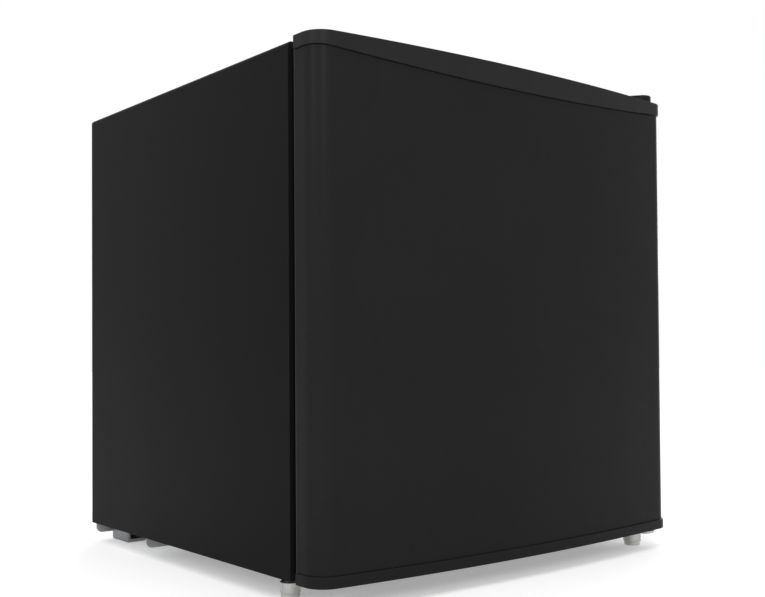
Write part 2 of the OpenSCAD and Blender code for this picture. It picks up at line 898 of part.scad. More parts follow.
module capillary_tube() {
    low = shell_low + 18;
    color(COPPER) place() tube([
        [condenser_x, riser_y, drier_neck],
        [condenser_x, riser_y, low],
        [condenser_x, capillary_y, low],
        [capillary_x, capillary_y, low],
        [capillary_x, capillary_y, injection_z],
        [capillary_x, evap_back, injection_z]
    ], capillary_d, capillary_r);
}

// ---- Freezer box ----
spacer_h = 8;
hanger_screw_d = 4;
hanger_head_d = 9;
hanger_head_h = 2;
hanger_inset = 30;
evap_left = -cav_w + evap_side_gap;
evap_right = cav_w - housing_side_gap - housing_w - housing_gap;
evap_back = cav_back - evap_rear_gap;
evap_top = cav_top - spacer_h;
evap_low = evap_top - evap_h;
evap_r = 6;
evap_hangers = [
    for (x = [evap_left + hanger_inset, evap_right - hanger_inset])
        for (y = [evap_front + hanger_inset, evap_back - hanger_inset]) [x, y]
];

module evaporator() {
    color(ALUMINIUM) place() difference() {
        fore_aft(rounded([evap_left, evap_right], [evap_low, evap_top], evap_r), [evap_front, evap_back]);
        fore_aft(
            rounded(
                [evap_left + evap_t, evap_right - evap_t],
                [evap_low + evap_t, evap_top - evap_t], evap_r - evap_t
            ),
            [evap_front - past, evap_back - evap_t]
        );
        for (p = evap_hangers) {
            post(p, hanger_screw_d + 2 * snug, [evap_top - evap_t - past, evap_top + past]);
        }
    }
}

module evaporator_spacers() {
    color(NYLON) place() for (p = evap_hangers) difference() {
        post(p, 16, [evap_top, cav_top]);
        post(p, hanger_screw_d + 2 * snug, [evap_top - past, cav_top + past]);
    }
}

module evaporator_screws() {
    seat = evap_top - evap_t;
    color(NICKEL) place() for (p = evap_hangers) {
        post(p, hanger_screw_d, [seat, cav_top + liner_t]);
        post(p, hanger_head_d, [seat - hanger_head_h, seat]);
    }
}

// Flap: hinged along its bottom edge, in front of the freezer box's mouth, and wide above its brackets
flap_axis = [evap_front - 6, evap_low + 2];
flap_pin_d = 4;
flap_rod_d = 7;
flap_pin_l = 5;
flap_block_w = 10;
flap_block_y = [evap_front - 10, evap_front];
flap_block_z = [evap_low - 2, evap_low + 9];
flap_side_play = 0.5;
flap_top_play = 3;
flap_x = [evap_left + flap_block_w + flap_side_play, evap_right - flap_block_w - flap_side_play];
flap_wing_play = 2.5;
flap_wing_x = [evap_left + flap_side_play, evap_right - flap_side_play];
flap_grip_w = 100;
flap_grip_d = 6;
flap_grip_t = 3;

// Rod from left to right along the flap's axis.
module flap_rod(d, x) {
    translate([x[0], flap_axis[0], flap_axis[1]]) rotate([0, 90, 0]) cylinder(d = d, h = x[1] - x[0]);
}

module flap_brackets() {
    color(NYLON) place() for (x = [evap_left, evap_right - flap_block_w]) difference() {
        span([x, x + flap_block_w], flap_block_y, flap_block_z);
        flap_rod(flap_pin_d + 2 * pin_play, [x - past, x + flap_block_w + past]);
    }
}

module freezer_flap() {
    face_y = flap_axis[0] - 1;
    top = evap_top - flap_top_play;
    middle = (flap_x[0] + flap_x[1]) / 2;
    color(LINER_WHITE) place() {
        fore_aft(rounded(flap_x, [flap_axis[1], top], 2), [face_y, face_y + flap_t]);
        fore_aft(
            rounded(flap_wing_x, [flap_block_z[1] + flap_wing_play, top], 2),
            [face_y, face_y + flap_t]
        );
        span(
            [middle - flap_grip_w / 2, middle + flap_grip_w / 2],
            [face_y - flap_grip_d, face_y], [top - 3 * flap_grip_t, top - 2 * flap_grip_t]
        );
        flap_rod(flap_rod_d, flap_x);
        flap_rod(flap_pin_d, [flap_x[0] - flap_pin_l, flap_x[1] + flap_pin_l]);
    }
}

// Drip tray on two rails that hang below the flat of the freezer box's underside
runner_t = 2.5;
rail_lip = 10;
rail_x = [evap_left + evap_r, evap_right - evap_r];
rail_y = [evap_front + 2, evap_back - 4];
tray_x = [rail_x[0] + runner_t + 2 * slip, rail_x[1] - runner_t - 2 * slip];
tray_y = [evap_front - 4, evap_back - 10];
tray_z = [evap_low - rail_drop + runner_t + slip, evap_low - 3];
tray_wall = 2;
tray_r = 4;
tray_front_t = 7;

module tray_rails() {
    z = evap_low - rail_drop;
    color(NYLON) place() {
        span([rail_x[0], rail_x[0] + runner_t], rail_y, [z, evap_low]);
        span([rail_x[0], rail_x[0] + rail_lip], rail_y, [z, z + runner_t]);
        span([rail_x[1] - runner_t, rail_x[1]], rail_y, [z, evap_low]);
        span([rail_x[1] - rail_lip, rail_x[1]], rail_y, [z, z + runner_t]);
    }
}

module drip_tray() {
    w = tray_wall;
    front = [tray_y[0] - tray_front_t + w, tray_y[0] + w];
    color(LINER_WHITE) place() difference() {
        union() {
            upright(rounded(tray_x, tray_y, tray_r), tray_z);
            span([evap_left, evap_right], front, [tray_z[0] - w, tray_z[1]]);
        }
        upright(
            rounded([tray_x[0] + w, tray_x[1] - w], [front[1], tray_y[1] - w], tray_r - w),
            [tray_z[0] + w, tray_z[1] + past]
        );
    }
}

// ---- Shelf ----
shelf_back = cav_back - 10;
shelf_half = cav_w - 2.5;
trim_h = 10;
trim_d = 14;
stop_h = 12;
stop_t = 3;
glass_lap = 4;
glass_z = [shelf_z + 3, shelf_z + 3 + glass_t];

// Edge trim of the shelf: a bar with a slot that takes the glass on its side towards the middle.
module shelf_trim(y, slot_y) {
    difference() {
        span([-shelf_half, shelf_half], y, [shelf_z, shelf_z + trim_h]);
        span([-shelf_half - past, shelf_half + past], slot_y, glass_z);
    }
}

module shelf_front_trim() {
    color(LINER_WHITE) place()
        shelf_trim(
            [shelf_front, shelf_front + trim_d],
            [shelf_front + glass_lap, shelf_front + trim_d + past]
        );
}

module shelf_rear_trim() {
    color(LINER_WHITE) place() {
        shelf_trim([shelf_back - trim_d, shelf_back], [shelf_back - trim_d - past, shelf_back - glass_lap]);
        span(
            [-shelf_half, shelf_half], [shelf_back - stop_t, shelf_back],
            [shelf_z + trim_h, shelf_z + trim_h + stop_h]
        );
    }
}

module shelf_glass() {
    color(GLASS) place()
        span([-shelf_half + 1, shelf_half - 1], [shelf_front + glass_lap, shelf_back - glass_lap], glass_z);
}

// ---- Thermostat ----
housing_x = [evap_right + housing_gap, evap_right + housing_gap + housing_w];
housing_y = [evap_front + 6, evap_front + 6 + housing_d];
housing_z = [cav_top - housing_h, cav_top];
housing_wall = 2.2;
housing_r = 8;
slot_count = 5;
slot_w = 5;
slot_pitch = 12;
knob_at = [(housing_x[0] + housing_x[1]) / 2, housing_y[0], cav_top - housing_h / 2];
body_w = 44;
body_h = 30;
body_y = [housing_y[0] + housing_wall, housing_y[0] + housing_wall + 34];
shaft_d = 6;
shaft_y = [knob_at[1] - 13, body_y[0] + 12];
knob_y = knob_at[1] - 1.5;
knob_skirt_t = 3;
knob_hub_h = 7;
knob_h = 16;
knob_hub_d = knob_d - 12;
knob_bar = 10;
feeler_y = body_y[1] + 26;
bulb_d = 6;
bulb_l = 60;
bulb_x = evap_right + bulb_d / 2 + slip;
bulb_y = [feeler_y + 30, feeler_y + 30 + bulb_l];
clip_y = [bulb_y[0] + 20, bulb_y[0] + 34];

// Cylinder from front to back, with its axis at the knob's centre.
module knob_post(d, y) {
    translate([knob_at[0], y[0], knob_at[2]]) rotate([-90, 0, 0]) cylinder(d = d, h = y[1] - y[0]);
}

// Cylinder from front to back, with its axis along the bulb.
module bulb_post(d, y) {
    translate([bulb_x, y[0], knob_at[2]]) rotate([-90, 0, 0]) cylinder(d = d, h = y[1] - y[0]);
}

module thermostat_housing() {
    w = housing_wall;
    color(LINER_WHITE) place() difference() {
        upright(rounded(housing_x, housing_y, housing_r), housing_z);
        upright(
            rounded(
                [housing_x[0] + w, housing_x[1] - w],
                [housing_y[0] + w, housing_y[1] - w], housing_r - w
            ),
            [housing_z[0] + w, housing_z[1] + past]
        );
        knob_post(shaft_d + 3, [housing_y[0] - past, housing_y[0] + w + past]);
        translate([housing_x[0] - past, feeler_y, knob_at[2]]) rotate([0, 90, 0])
            cylinder(d = capillary_d + tube_hole, h = w + 2 * past);
        for (i = [0:slot_count - 1]) {
            y = body_y[1] + i * slot_pitch;
            span(
                [housing_x[0] + 2 * housing_r, housing_x[1] - 2 * housing_r],
                [y, y + slot_w], [housing_z[0] - past, housing_z[0] + w + past]
            );
        }
    }
}

module thermostat_body() {
    color(GALVANISED) place() difference() {
        span(
            [knob_at[0] - body_w / 2, knob_at[0] + body_w / 2], body_y,
            [knob_at[2] - body_h / 2, knob_at[2] + body_h / 2]
        );
        knob_post(shaft_d + 2 * pin_play, [body_y[0] - past, shaft_y[1] + past]);
    }
}

module thermostat_shaft() {
    color(NICKEL) place() knob_post(shaft_d, shaft_y);
}

module thermostat_knob() {
    color(LINER_WHITE) place() difference() {
        union() {
            knob_post(knob_d, [knob_y - knob_skirt_t, knob_y]);
            knob_post(knob_hub_d, [knob_y - knob_hub_h, knob_y]);
            intersection() {
                knob_post(knob_hub_d, [knob_y - knob_h, knob_y]);
                span(
                    [knob_at[0] - knob_bar / 2, knob_at[0] + knob_bar / 2], [knob_y - knob_h, knob_y],
                    [knob_at[2] - knob_d, knob_at[2] + knob_d]
                );
            }
        }
        knob_post(shaft_d, [shaft_y[0], knob_y + past]);
    }
}

module thermostat_bulb() {
    color(COPPER) place() {
        tube([
            [knob_at[0], body_y[1], knob_at[2]],
            [knob_at[0], feeler_y, knob_at[2]],
            [bulb_x, feeler_y, knob_at[2]],
            [bulb_x, bulb_y[0], knob_at[2]]
        ], capillary_d, capillary_r);
        bulb_post(bulb_d, bulb_y);
    }
}

module bulb_clip() {
    color(NYLON) place() difference() {
        span([evap_right, bulb_x + bulb_d], clip_y, [knob_at[2] - bulb_d, knob_at[2] + bulb_d]);
        bulb_post(bulb_d + 2 * snug, [clip_y[0] - past, clip_y[1] + past]);
    }
}

// ---- Door ----
skin_rear = -door_gap - 3;              // back plane of the door's skin, behind it lies the liner's flange
skin_half = half_w + door_overhang;
bow_r = (skin_half * skin_half + door_bow * door_bow) / (2 * door_bow);
bow_y = bow_r - door_face - door_bow;
corner_x = skin_half - door_corner_r;
corner_y = bow_y - sqrt((bow_r - door_corner_r) * (bow_r - door_corner_r) - corner_x * corner_x);
corner_a = atan2(corner_y - bow_y, corner_x);

// Plan of the door, grown by g beyond its skin, with a flat back at the given y.
function door_plan(g, rear) = concat(
    [[skin_half + g, rear]],
    arc([corner_x, corner_y], door_corner_r + g, 0, corner_a, 10),
    arc([0, bow_y], bow_r + g, corner_a, -180 - corner_a, 40),
    arc([-corner_x, corner_y], door_corner_r + g, -180 - corner_a, -180, 10),
    [[-skin_half - g, rear]]
);

// Height of the seam below the top cap: an arc that sags towards the middle.
function seam_z(x) =
    door_top - top_cap_h - top_cap_dip * (1 - min(1, (x / skin_half) * (x / skin_half)));

// Everything below the top cap's seam, with its top edge shifted by dz.
module below_seam(dz) {
    reach = skin_half + 4;
    steps = 48;
    fore_aft(concat(
        [[-reach, -past], [reach, -past]],
        [for (i = [0:steps]) let (x = reach - 2 * reach * i / steps) [x, seam_z(x) + dz]]
    ), [-door_depth - past, past]);
}

seam_gap = 0.4;
return_lip = 12;

module door_skin() {
    color(BLACK_STEEL) place() intersection() {
        difference() {
            upright(door_plan(0, skin_rear), [bottom_cap_h + seam_gap, door_top]);
            upright(door_plan(-sheet_t, skin_rear - sheet_t), [0, door_top + past]);
            span(
                [-skin_half + return_lip, skin_half - return_lip],
                [skin_rear - 2 * past, past], [0, door_top + past]
            );
        }
        below_seam(-seam_gap);
    }
}

grip_y = [-door_gap - 34, -door_gap - 17];
grip_z = 13;
boss_d = bush_d + 6;

// The two bush places in a cap: the hinge side and the spare one for a left-hand door.
module cap_bosses(z) {
    for (p = [hinge, mirrored(hinge)]) post(p, boss_d, z);
}

module cap_bores(z) {
    for (p = [hinge, mirrored(hinge)]) post(p, bush_d, z);
}

module door_top_cap() {
    inner = cap_proud - cap_wall;
    color(BLACK_PLASTIC) place() difference() {
        union() {
            difference() {
                upright(door_plan(cap_proud, skin_rear), [door_top - top_cap_h - top_cap_dip, door_top]);
                upright(door_plan(inner, skin_rear - cap_wall), [0, door_top - cap_wall]);
                below_seam(0);
            }
            cap_bosses([door_top - bush_l, door_top]);
            span(
                [-grip_w / 2 - 2, grip_w / 2 + 2],
                [grip_y[0] - 2, grip_y[1] + 2], [door_top - grip_z - 2, door_top]
            );
        }
        cap_bores([door_top - bush_l - past, door_top + past]);
        span([-grip_w / 2, grip_w / 2], grip_y, [door_top - grip_z, door_top + past]);
    }
}

module door_bottom_cap() {
    inner = cap_proud - cap_wall;
    color(BLACK_PLASTIC) place() difference() {
        union() {
            difference() {
                upright(door_plan(cap_proud, skin_rear), [0, bottom_cap_h]);
                upright(door_plan(inner, skin_rear - cap_wall), [cap_wall, bottom_cap_h + past]);
            }
            cap_bosses([0, bush_l]);
        }
        cap_bores([-past, bush_l + past]);
    }
}

module door_insulation() {
    inner = cap_proud - cap_wall - snug;
    seam_low = door_top - top_cap_h - top_cap_dip;
    lip_x = skin_half - return_lip - snug;
    color(FOAM) place() difference() {
        union() {
            upright(door_plan(inner, skin_rear - cap_wall), [cap_wall, door_top - cap_wall]);
            span(
                [-lip_x, lip_x], [skin_rear - cap_wall - past, skin_rear],
                [bottom_cap_h + snug, seam_low - snug]
            );
            dyke_ring(liner_t, [skin_rear - past, dyke_h - liner_t]);
        }
        cap_bosses_room();
        span(
            [-grip_w / 2 - 2 - snug, grip_w / 2 + 2 + snug],
            [grip_y[0] - 2 - snug, grip_y[1] + 2 + snug], [door_top - grip_z - 2 - snug, door_top]
        );
    }
}

// Room in the foam round the bush bosses of both caps.
module cap_bosses_room() {
    for (p = [hinge, mirrored(hinge)]) {
        post(p, boss_d + 2 * snug, [door_top - bush_l - snug, door_top]);
        post(p, boss_d + 2 * snug, [0, bush_l + snug]);
    }
}

module hinge_bushes() {
    color(NYLON) place() for (z = [[0, bush_l], [door_top - bush_l, door_top]]) difference() {
        post(hinge, bush_d, z);
        post(hinge, pin_d + 2 * pin_play, [z[0] - past, z[1] + past]);
    }
}

module door_hole_plugs() {
    spare = mirrored(hinge);
    color(BLACK_PLASTIC) place() {
        post(spare, bush_d, [door_top - 8, door_top]);
        post(spare, bush_d + 3, [door_top, door_top + 1.2]);
        post(spare, bush_d, [0, 8]);
        post(spare, bush_d + 3, [-1.2, 0]);
    }
}

// Door liner: a flat flange, a low dyke round the opening, and two cheeks that carry the racks
flange_y = [skin_rear, -door_gap];
dyke_x = cav_w - 5.5;
dyke_z = [floor_wall + 6, cav_top - 6];
dyke_h = 22;
dyke_w = 12;
dyke_r = 16;
cheek_x = [cav_w - 25.5, cav_w - 13.5];
rack_t = 4;
rail_rise = 20;
rail_t = 4;
cheek_top = upper_rack_z + rack_t + rail_rise + rail_h + 2;
cheek_y = rack_d + 4;

// The dyke's ring, thinned by t all round, between two places along Y.
module dyke_ring(t, y) {
    difference() {
        fore_aft(rounded([-dyke_x + t, dyke_x - t], [dyke_z[0] + t, dyke_z[1] - t], dyke_r - t), y);
        fore_aft(
            rounded(
                [-dyke_x + dyke_w - t, dyke_x - dyke_w + t],
                [dyke_z[0] + dyke_w - t, dyke_z[1] - dyke_w + t], dyke_r - dyke_w + t
            ),
            [y[0] - past, y[1] + past]
        );
    }
}

// The two upright cheeks that carry the racks, thinned by t all round.
module cheeks(t, y) {
    both() span([cheek_x[0] + t, cheek_x[1] - t], y, [lower_rack_z - 2 + t, cheek_top - t]);
}

module door_liner() {
    color(LINER_WHITE) place() {
        difference() {
            union() {
                fore_aft(rounded([-half_w - 0.5, half_w + 0.5], [2.5, door_top - 2.5], 4), flange_y);
                dyke_ring(0, [-door_gap, dyke_h]);
                cheeks(0, [-door_gap, cheek_y]);
            }
            dyke_ring(liner_t, [skin_rear - past, dyke_h - liner_t]);
            cheeks(liner_t, [-door_gap + past, cheek_y - liner_t]);
        }
        for (z = [lower_rack_z, upper_rack_z]) {
            span([-cheek_x[0], cheek_x[0]], [-door_gap, rack_d], [z, z + rack_t]);
        }
    }
}

// Rail across the front of a rack, between the cheeks.
module bottle_rail(floor_z) {
    z = [floor_z + rack_t + rail_rise, floor_z + rack_t + rail_rise + rail_h];
    color(GLASS) place() union() {
        fore_aft(rounded([-cheek_x[0], cheek_x[0]], z, 3), [rack_d - rail_t, rack_d]);
        both() span([cheek_x[0] - 14, cheek_x[0]], [rack_d - 16, rack_d - rail_t], [z[0] + 4, z[1] - 4]);
    }
}

module upper_bottle_rail() {
    bottle_rail(upper_rack_z);
}

module lower_bottle_rail() {
    bottle_rail(lower_rack_z + 20);
}

// Gasket: a soft ring between the door's flange and the cabinet's steel rim, with magnets inside
gasket_half = half_w - hinge_inset - 0.5;
gasket_z = [17.5, cabinet_h - 17.5];
magnet_w = 9;
magnet_y = [-4, -2];
magnet_inset = (gasket_w - magnet_w) / 2;

// Four straight strips that run along the middle of the gasket's band.
module magnet_strips() {
    x1 = gasket_half - magnet_inset;
    z = [gasket_z[0] + magnet_inset, gasket_z[1] - magnet_inset];
    end = magnet_w + 4;
    both() span([x1 - magnet_w, x1], magnet_y, [z[0] + end, z[1] - end]);
    for (z0 = [z[0], z[1] - magnet_w]) span([-x1 + end, x1 - end], magnet_y, [z0, z0 + magnet_w]);
}

module door_gasket() {
    color(RUBBER_BLACK) place() difference() {
        fore_aft(rounded([-gasket_half, gasket_half], gasket_z, 6), [-door_gap, 0]);
        fore_aft(
            rounded(
                [-gasket_half + gasket_w, gasket_half - gasket_w],
                [gasket_z[0] + gasket_w, gasket_z[1] - gasket_w], 3
            ),
            [-door_gap - past, past]
        );
        magnet_strips();
    }
}

module gasket_magnets() {
    color(GALVANISED) place() magnet_strips();
}

cabinet_wrapper();
bottom_panel();
back_panel();
bay_panel();
cabinet_insulation();
inner_liner();
hinge_backing_plates();
cabinet_hole_plugs();
top_hinge_bracket();
top_hinge_pin();
top_hinge_screws();
top_hinge_cover();
bottom_hinge_bracket();
bottom_hinge_pin();
bottom_hinge_screws();
hinge_washer();
compressor_base_plate();
base_plate_screws();
rear_feet();
front_left_foot();
front_right_foot();
cord_gland();
compressor_shell();
compressor_legs();
compressor_grommets();
grommet_bolts();
relay_cover();
discharge_tube();
suction_tube();
process_tube();
condenser_tube();
filter_drier();
capillary_tube();
evaporator();
evaporator_spacers();
evaporator_screws();
flap_brackets();
freezer_flap();
tray_rails();
drip_tray();
thermostat_housing();
thermostat_body();
thermostat_shaft();
thermostat_knob();
thermostat_bulb();
bulb_clip();
shelf_glass();
shelf_front_trim();
shelf_rear_trim();
door_skin();
door_top_cap();
door_bottom_cap();
door_insulation();
door_liner();
door_gasket();
gasket_magnets();
hinge_bushes();
upper_bottle_rail();
lower_bottle_rail();
door_hole_plugs();
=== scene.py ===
"""Mini fridge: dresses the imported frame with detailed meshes, procedural finishes, a studio and a camera."""

import json
import logging
import math
from collections.abc import Callable, Iterable, Sequence
from dataclasses import dataclass, field, replace
from enum import Enum

import bmesh
import bpy
from mathutils import Matrix, Vector

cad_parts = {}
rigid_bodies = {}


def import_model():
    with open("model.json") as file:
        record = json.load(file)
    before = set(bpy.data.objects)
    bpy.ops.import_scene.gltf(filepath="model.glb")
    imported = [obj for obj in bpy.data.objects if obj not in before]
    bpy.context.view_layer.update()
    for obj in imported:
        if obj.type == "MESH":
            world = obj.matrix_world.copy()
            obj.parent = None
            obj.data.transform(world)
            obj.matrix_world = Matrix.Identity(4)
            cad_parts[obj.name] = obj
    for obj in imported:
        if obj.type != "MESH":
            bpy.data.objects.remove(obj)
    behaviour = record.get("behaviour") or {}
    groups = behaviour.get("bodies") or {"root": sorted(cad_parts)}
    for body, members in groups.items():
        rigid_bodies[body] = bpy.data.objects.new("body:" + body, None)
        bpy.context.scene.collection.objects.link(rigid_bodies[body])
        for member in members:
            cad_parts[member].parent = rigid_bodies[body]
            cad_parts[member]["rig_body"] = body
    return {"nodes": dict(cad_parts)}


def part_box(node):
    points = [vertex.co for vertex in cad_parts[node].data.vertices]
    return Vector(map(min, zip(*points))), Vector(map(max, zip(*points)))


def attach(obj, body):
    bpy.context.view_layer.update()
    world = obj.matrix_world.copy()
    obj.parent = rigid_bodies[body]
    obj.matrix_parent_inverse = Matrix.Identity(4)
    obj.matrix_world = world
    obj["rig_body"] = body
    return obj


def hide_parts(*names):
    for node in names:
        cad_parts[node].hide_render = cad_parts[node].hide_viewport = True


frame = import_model()
bpy.context.view_layer.update()

log = logging.getLogger("mini_fridge")
MM = 0.001
MICRON = 0.001 * MM
WELD = 2 * MICRON
HAIR = 1 * MICRON
FLAT = math.radians(0.4)
AXES = {"X": Vector((1, 0, 0)), "Y": Vector((0, 1, 0)), "Z": Vector((0, 0, 1))}
Colour = tuple[float, float, float]
Node = bpy.types.Node
Socket = bpy.types.NodeSocket
Feed = float | Sequence[float] | Socket
Feeds = dict[str, Feed]
Shape = bmesh.types.BMesh
Points = Iterable[Sequence[float]]
EdgeTest = Callable[[bmesh.types.BMEdge], bool]


class Body(Enum):
    """Moving bodies of the fridge."""

    CABINET = "cabinet"
    DOOR = "door"
    FLAP = "flap"
    TRAY = "drip_tray"
    SHELF = "shelf"
    KNOB = "knob"
    LEFT_FOOT = "left_foot"
    RIGHT_FOOT = "right_foot"


class Slot(Enum):
    """Material slots of the record."""

    BLACK_SKIN = "black_skin"
    GALVANISED = "galvanised"
    ZINC = "zinc"
    NICKEL = "nickel"
    BLACK_PLASTIC = "black_plastic"
    LINER_WHITE = "liner_white"
    NYLON = "nylon"
    FOAM = "foam"
    COPPER = "copper"
    ALUMINIUM = "aluminium"
    RUBBER = "rubber"
    COMPRESSOR_PAINT = "compressor_paint"
    GLASS = "glass"
    CLEAR_PLASTIC = "clear_plastic"
    FERRITE = "ferrite"


class Effect(Enum):
    """Surface effects that several finishes share, each one node group."""

    EDGE_WEAR = "edge_wear"
    GRAIN = "grain"
    ORANGE_PEEL = "orange_peel"
    HANDLING = "handling_marks"
    DUST = "settled_dust"
    BRUSHED = "brushed_lines"
    SPANGLE = "zinc_spangle"
    SCUFFS = "fine_scuffs"
    TARNISH = "tarnish"


def srgb(code: str) -> Colour:
    """Turns a written colour into linear light.

    Args:
        code: six hexadecimal digits.

    Returns:
        Linear red, green and blue.
    """
    parts = (int(code[i : i + 2], 16) / 255 for i in (0, 2, 4))
    return tuple(c / 12.92 if c <= 0.04045 else ((c + 0.055) / 1.055) ** 2.4 for c in parts)


class Wiring:
    """Places nodes in one shader tree and joins their sockets."""

    def __init__(self, tree: bpy.types.ShaderNodeTree) -> None:
        """Keeps the tree.

        Args:
            tree: the node tree that gets the nodes.
        """
        self.tree = tree
        self.entry: Node | None = None

    def given(self, name: str) -> Socket:
        """Returns an input of the node group that is being wired."""
        return self.entry.outputs[name]

    def feed(self, socket: Socket, value: Feed) -> None:
        """Gives an input its value, or a link where the value is an output.

        Args:
            socket: the input.
            value: a number, a colour, a vector or another node's output.
        """
        if isinstance(value, Socket):
            self.tree.links.new(value, socket)
        elif socket.type == "RGBA" and len(value) == 3:
            socket.default_value = (*value, 1.0)
        else:
            socket.default_value = value

    def add(self, kind: str, inputs: dict[str | int, Feed] | None = None, **settings: object) -> Node:
        """Adds one node.

        Args:
            kind: the node's type, without its ShaderNode prefix.
            inputs: values for its inputs, by name or number.
            **settings: the node's own settings.

        Returns:
            The new node.
        """
        node = self.tree.nodes.new(f"ShaderNode{kind}")
        for key, value in settings.items():
            setattr(node, key, value)
        for key, value in (inputs or {}).items():
            self.feed(node.inputs[key], value)
        return node

    def math(self, operation: str, a: Feed, b: Feed = 0.0) -> Socket:
        """Joins two values with one operation.

        Args:
            operation: the Math node's operation.
            a: the first value.
            b: the second value.

        Returns:
            The result.
        """
        return self.add("Math", {0: a, 1: b}, operation=operation).outputs[0]

    def times(self, a: Feed, b: Feed) -> Socket:
        """Multiplies two values."""
        return self.math("MULTIPLY", a, b)

    def plus(self, a: Feed, b: Feed) -> Socket:
        """Adds two values."""
        return self.math("ADD", a, b)

    def most(self, a: Feed, b: Feed) -> Socket:
        """Returns the larger of two values."""
        return self.math("MAXIMUM", a, b)

    def step(self, value: Feed, low: float, high: float, start: float = 0.0, end: float = 1.0) -> Socket:
        """Turns a range of values smoothly into another range.

        Args:
            value: the value to turn.
            low: where the step begins.
            high: where it ends.
            start: the result below the step.
            end: the result above it.

        Returns:
            The stepped value.
        """
        inputs = {0: value, 1: low, 2: high, 3: start, 4: end}
        return self.add("MapRange", inputs, interpolation_type="SMOOTHSTEP").outputs[0]

    def tint(self, factor: Feed, a: Feed, b: Feed) -> Socket:
        """Mixes two colours.

        Args:
            factor: the share of the second colour.
            a: the first colour.
            b: the second colour.

        Returns:
            The mixed colour.
        """
        return self.add("Mix", {0: factor, 6: a, 7: b}, data_type="RGBA").outputs[2]

    def noise(self, scale: Feed, detail: float = 2.0, twist: float = 0.0, at: Feed | None = None) -> Socket:
        """Adds a noise texture.

        Args:
            scale: its cells in a metre.
            detail: its octaves.
            twist: how far it is distorted.
            at: where it is read, in place of the object's own coordinates.

        Returns:
            Its value, from 0 to 1.
        """
        where = self.place() if at is None else at
        inputs = {"Vector": where, "Scale": scale, "Detail": detail, "Distortion": twist}
        return self.add("TexNoise", inputs).outputs[0]

    def place(self) -> Socket:
        """Returns the object's own coordinates."""
        return self.add("TexCoord").outputs["Object"]

    def bump(self, height: Feed, depth: float, strength: float = 1.0) -> Socket:
        """Turns a height into a normal.

        Args:
            height: the height, from 0 to 1.
            depth: how deep that is, in metres.
            strength: how much of it shows.

        Returns:
            The normal.
        """
        return self.add("Bump", {"Height": height, "Distance": depth, "Strength": strength}).outputs[0]

    def stretched(self, scale: Sequence[float], turn: Sequence[float] = (0, 0, 0)) -> Socket:
        """Returns the object's coordinates, turned and stretched.

        Args:
            scale: the factor along each axis.
            turn: the turn about each axis, in radians.

        Returns:
            The mapped coordinates.
        """
        return self.add("Mapping", {"Vector": self.place(), "Scale": scale, "Rotation": turn}).outputs[0]


def blank(owner: bpy.types.Material | bpy.types.World) -> Wiring:
    """Empties the node tree of a material or world.

    Args:
        owner: the material or world.

    Returns:
        The tree's wiring.
    """
    owner.use_nodes = True
    owner.node_tree.nodes.clear()
    return Wiring(owner.node_tree)


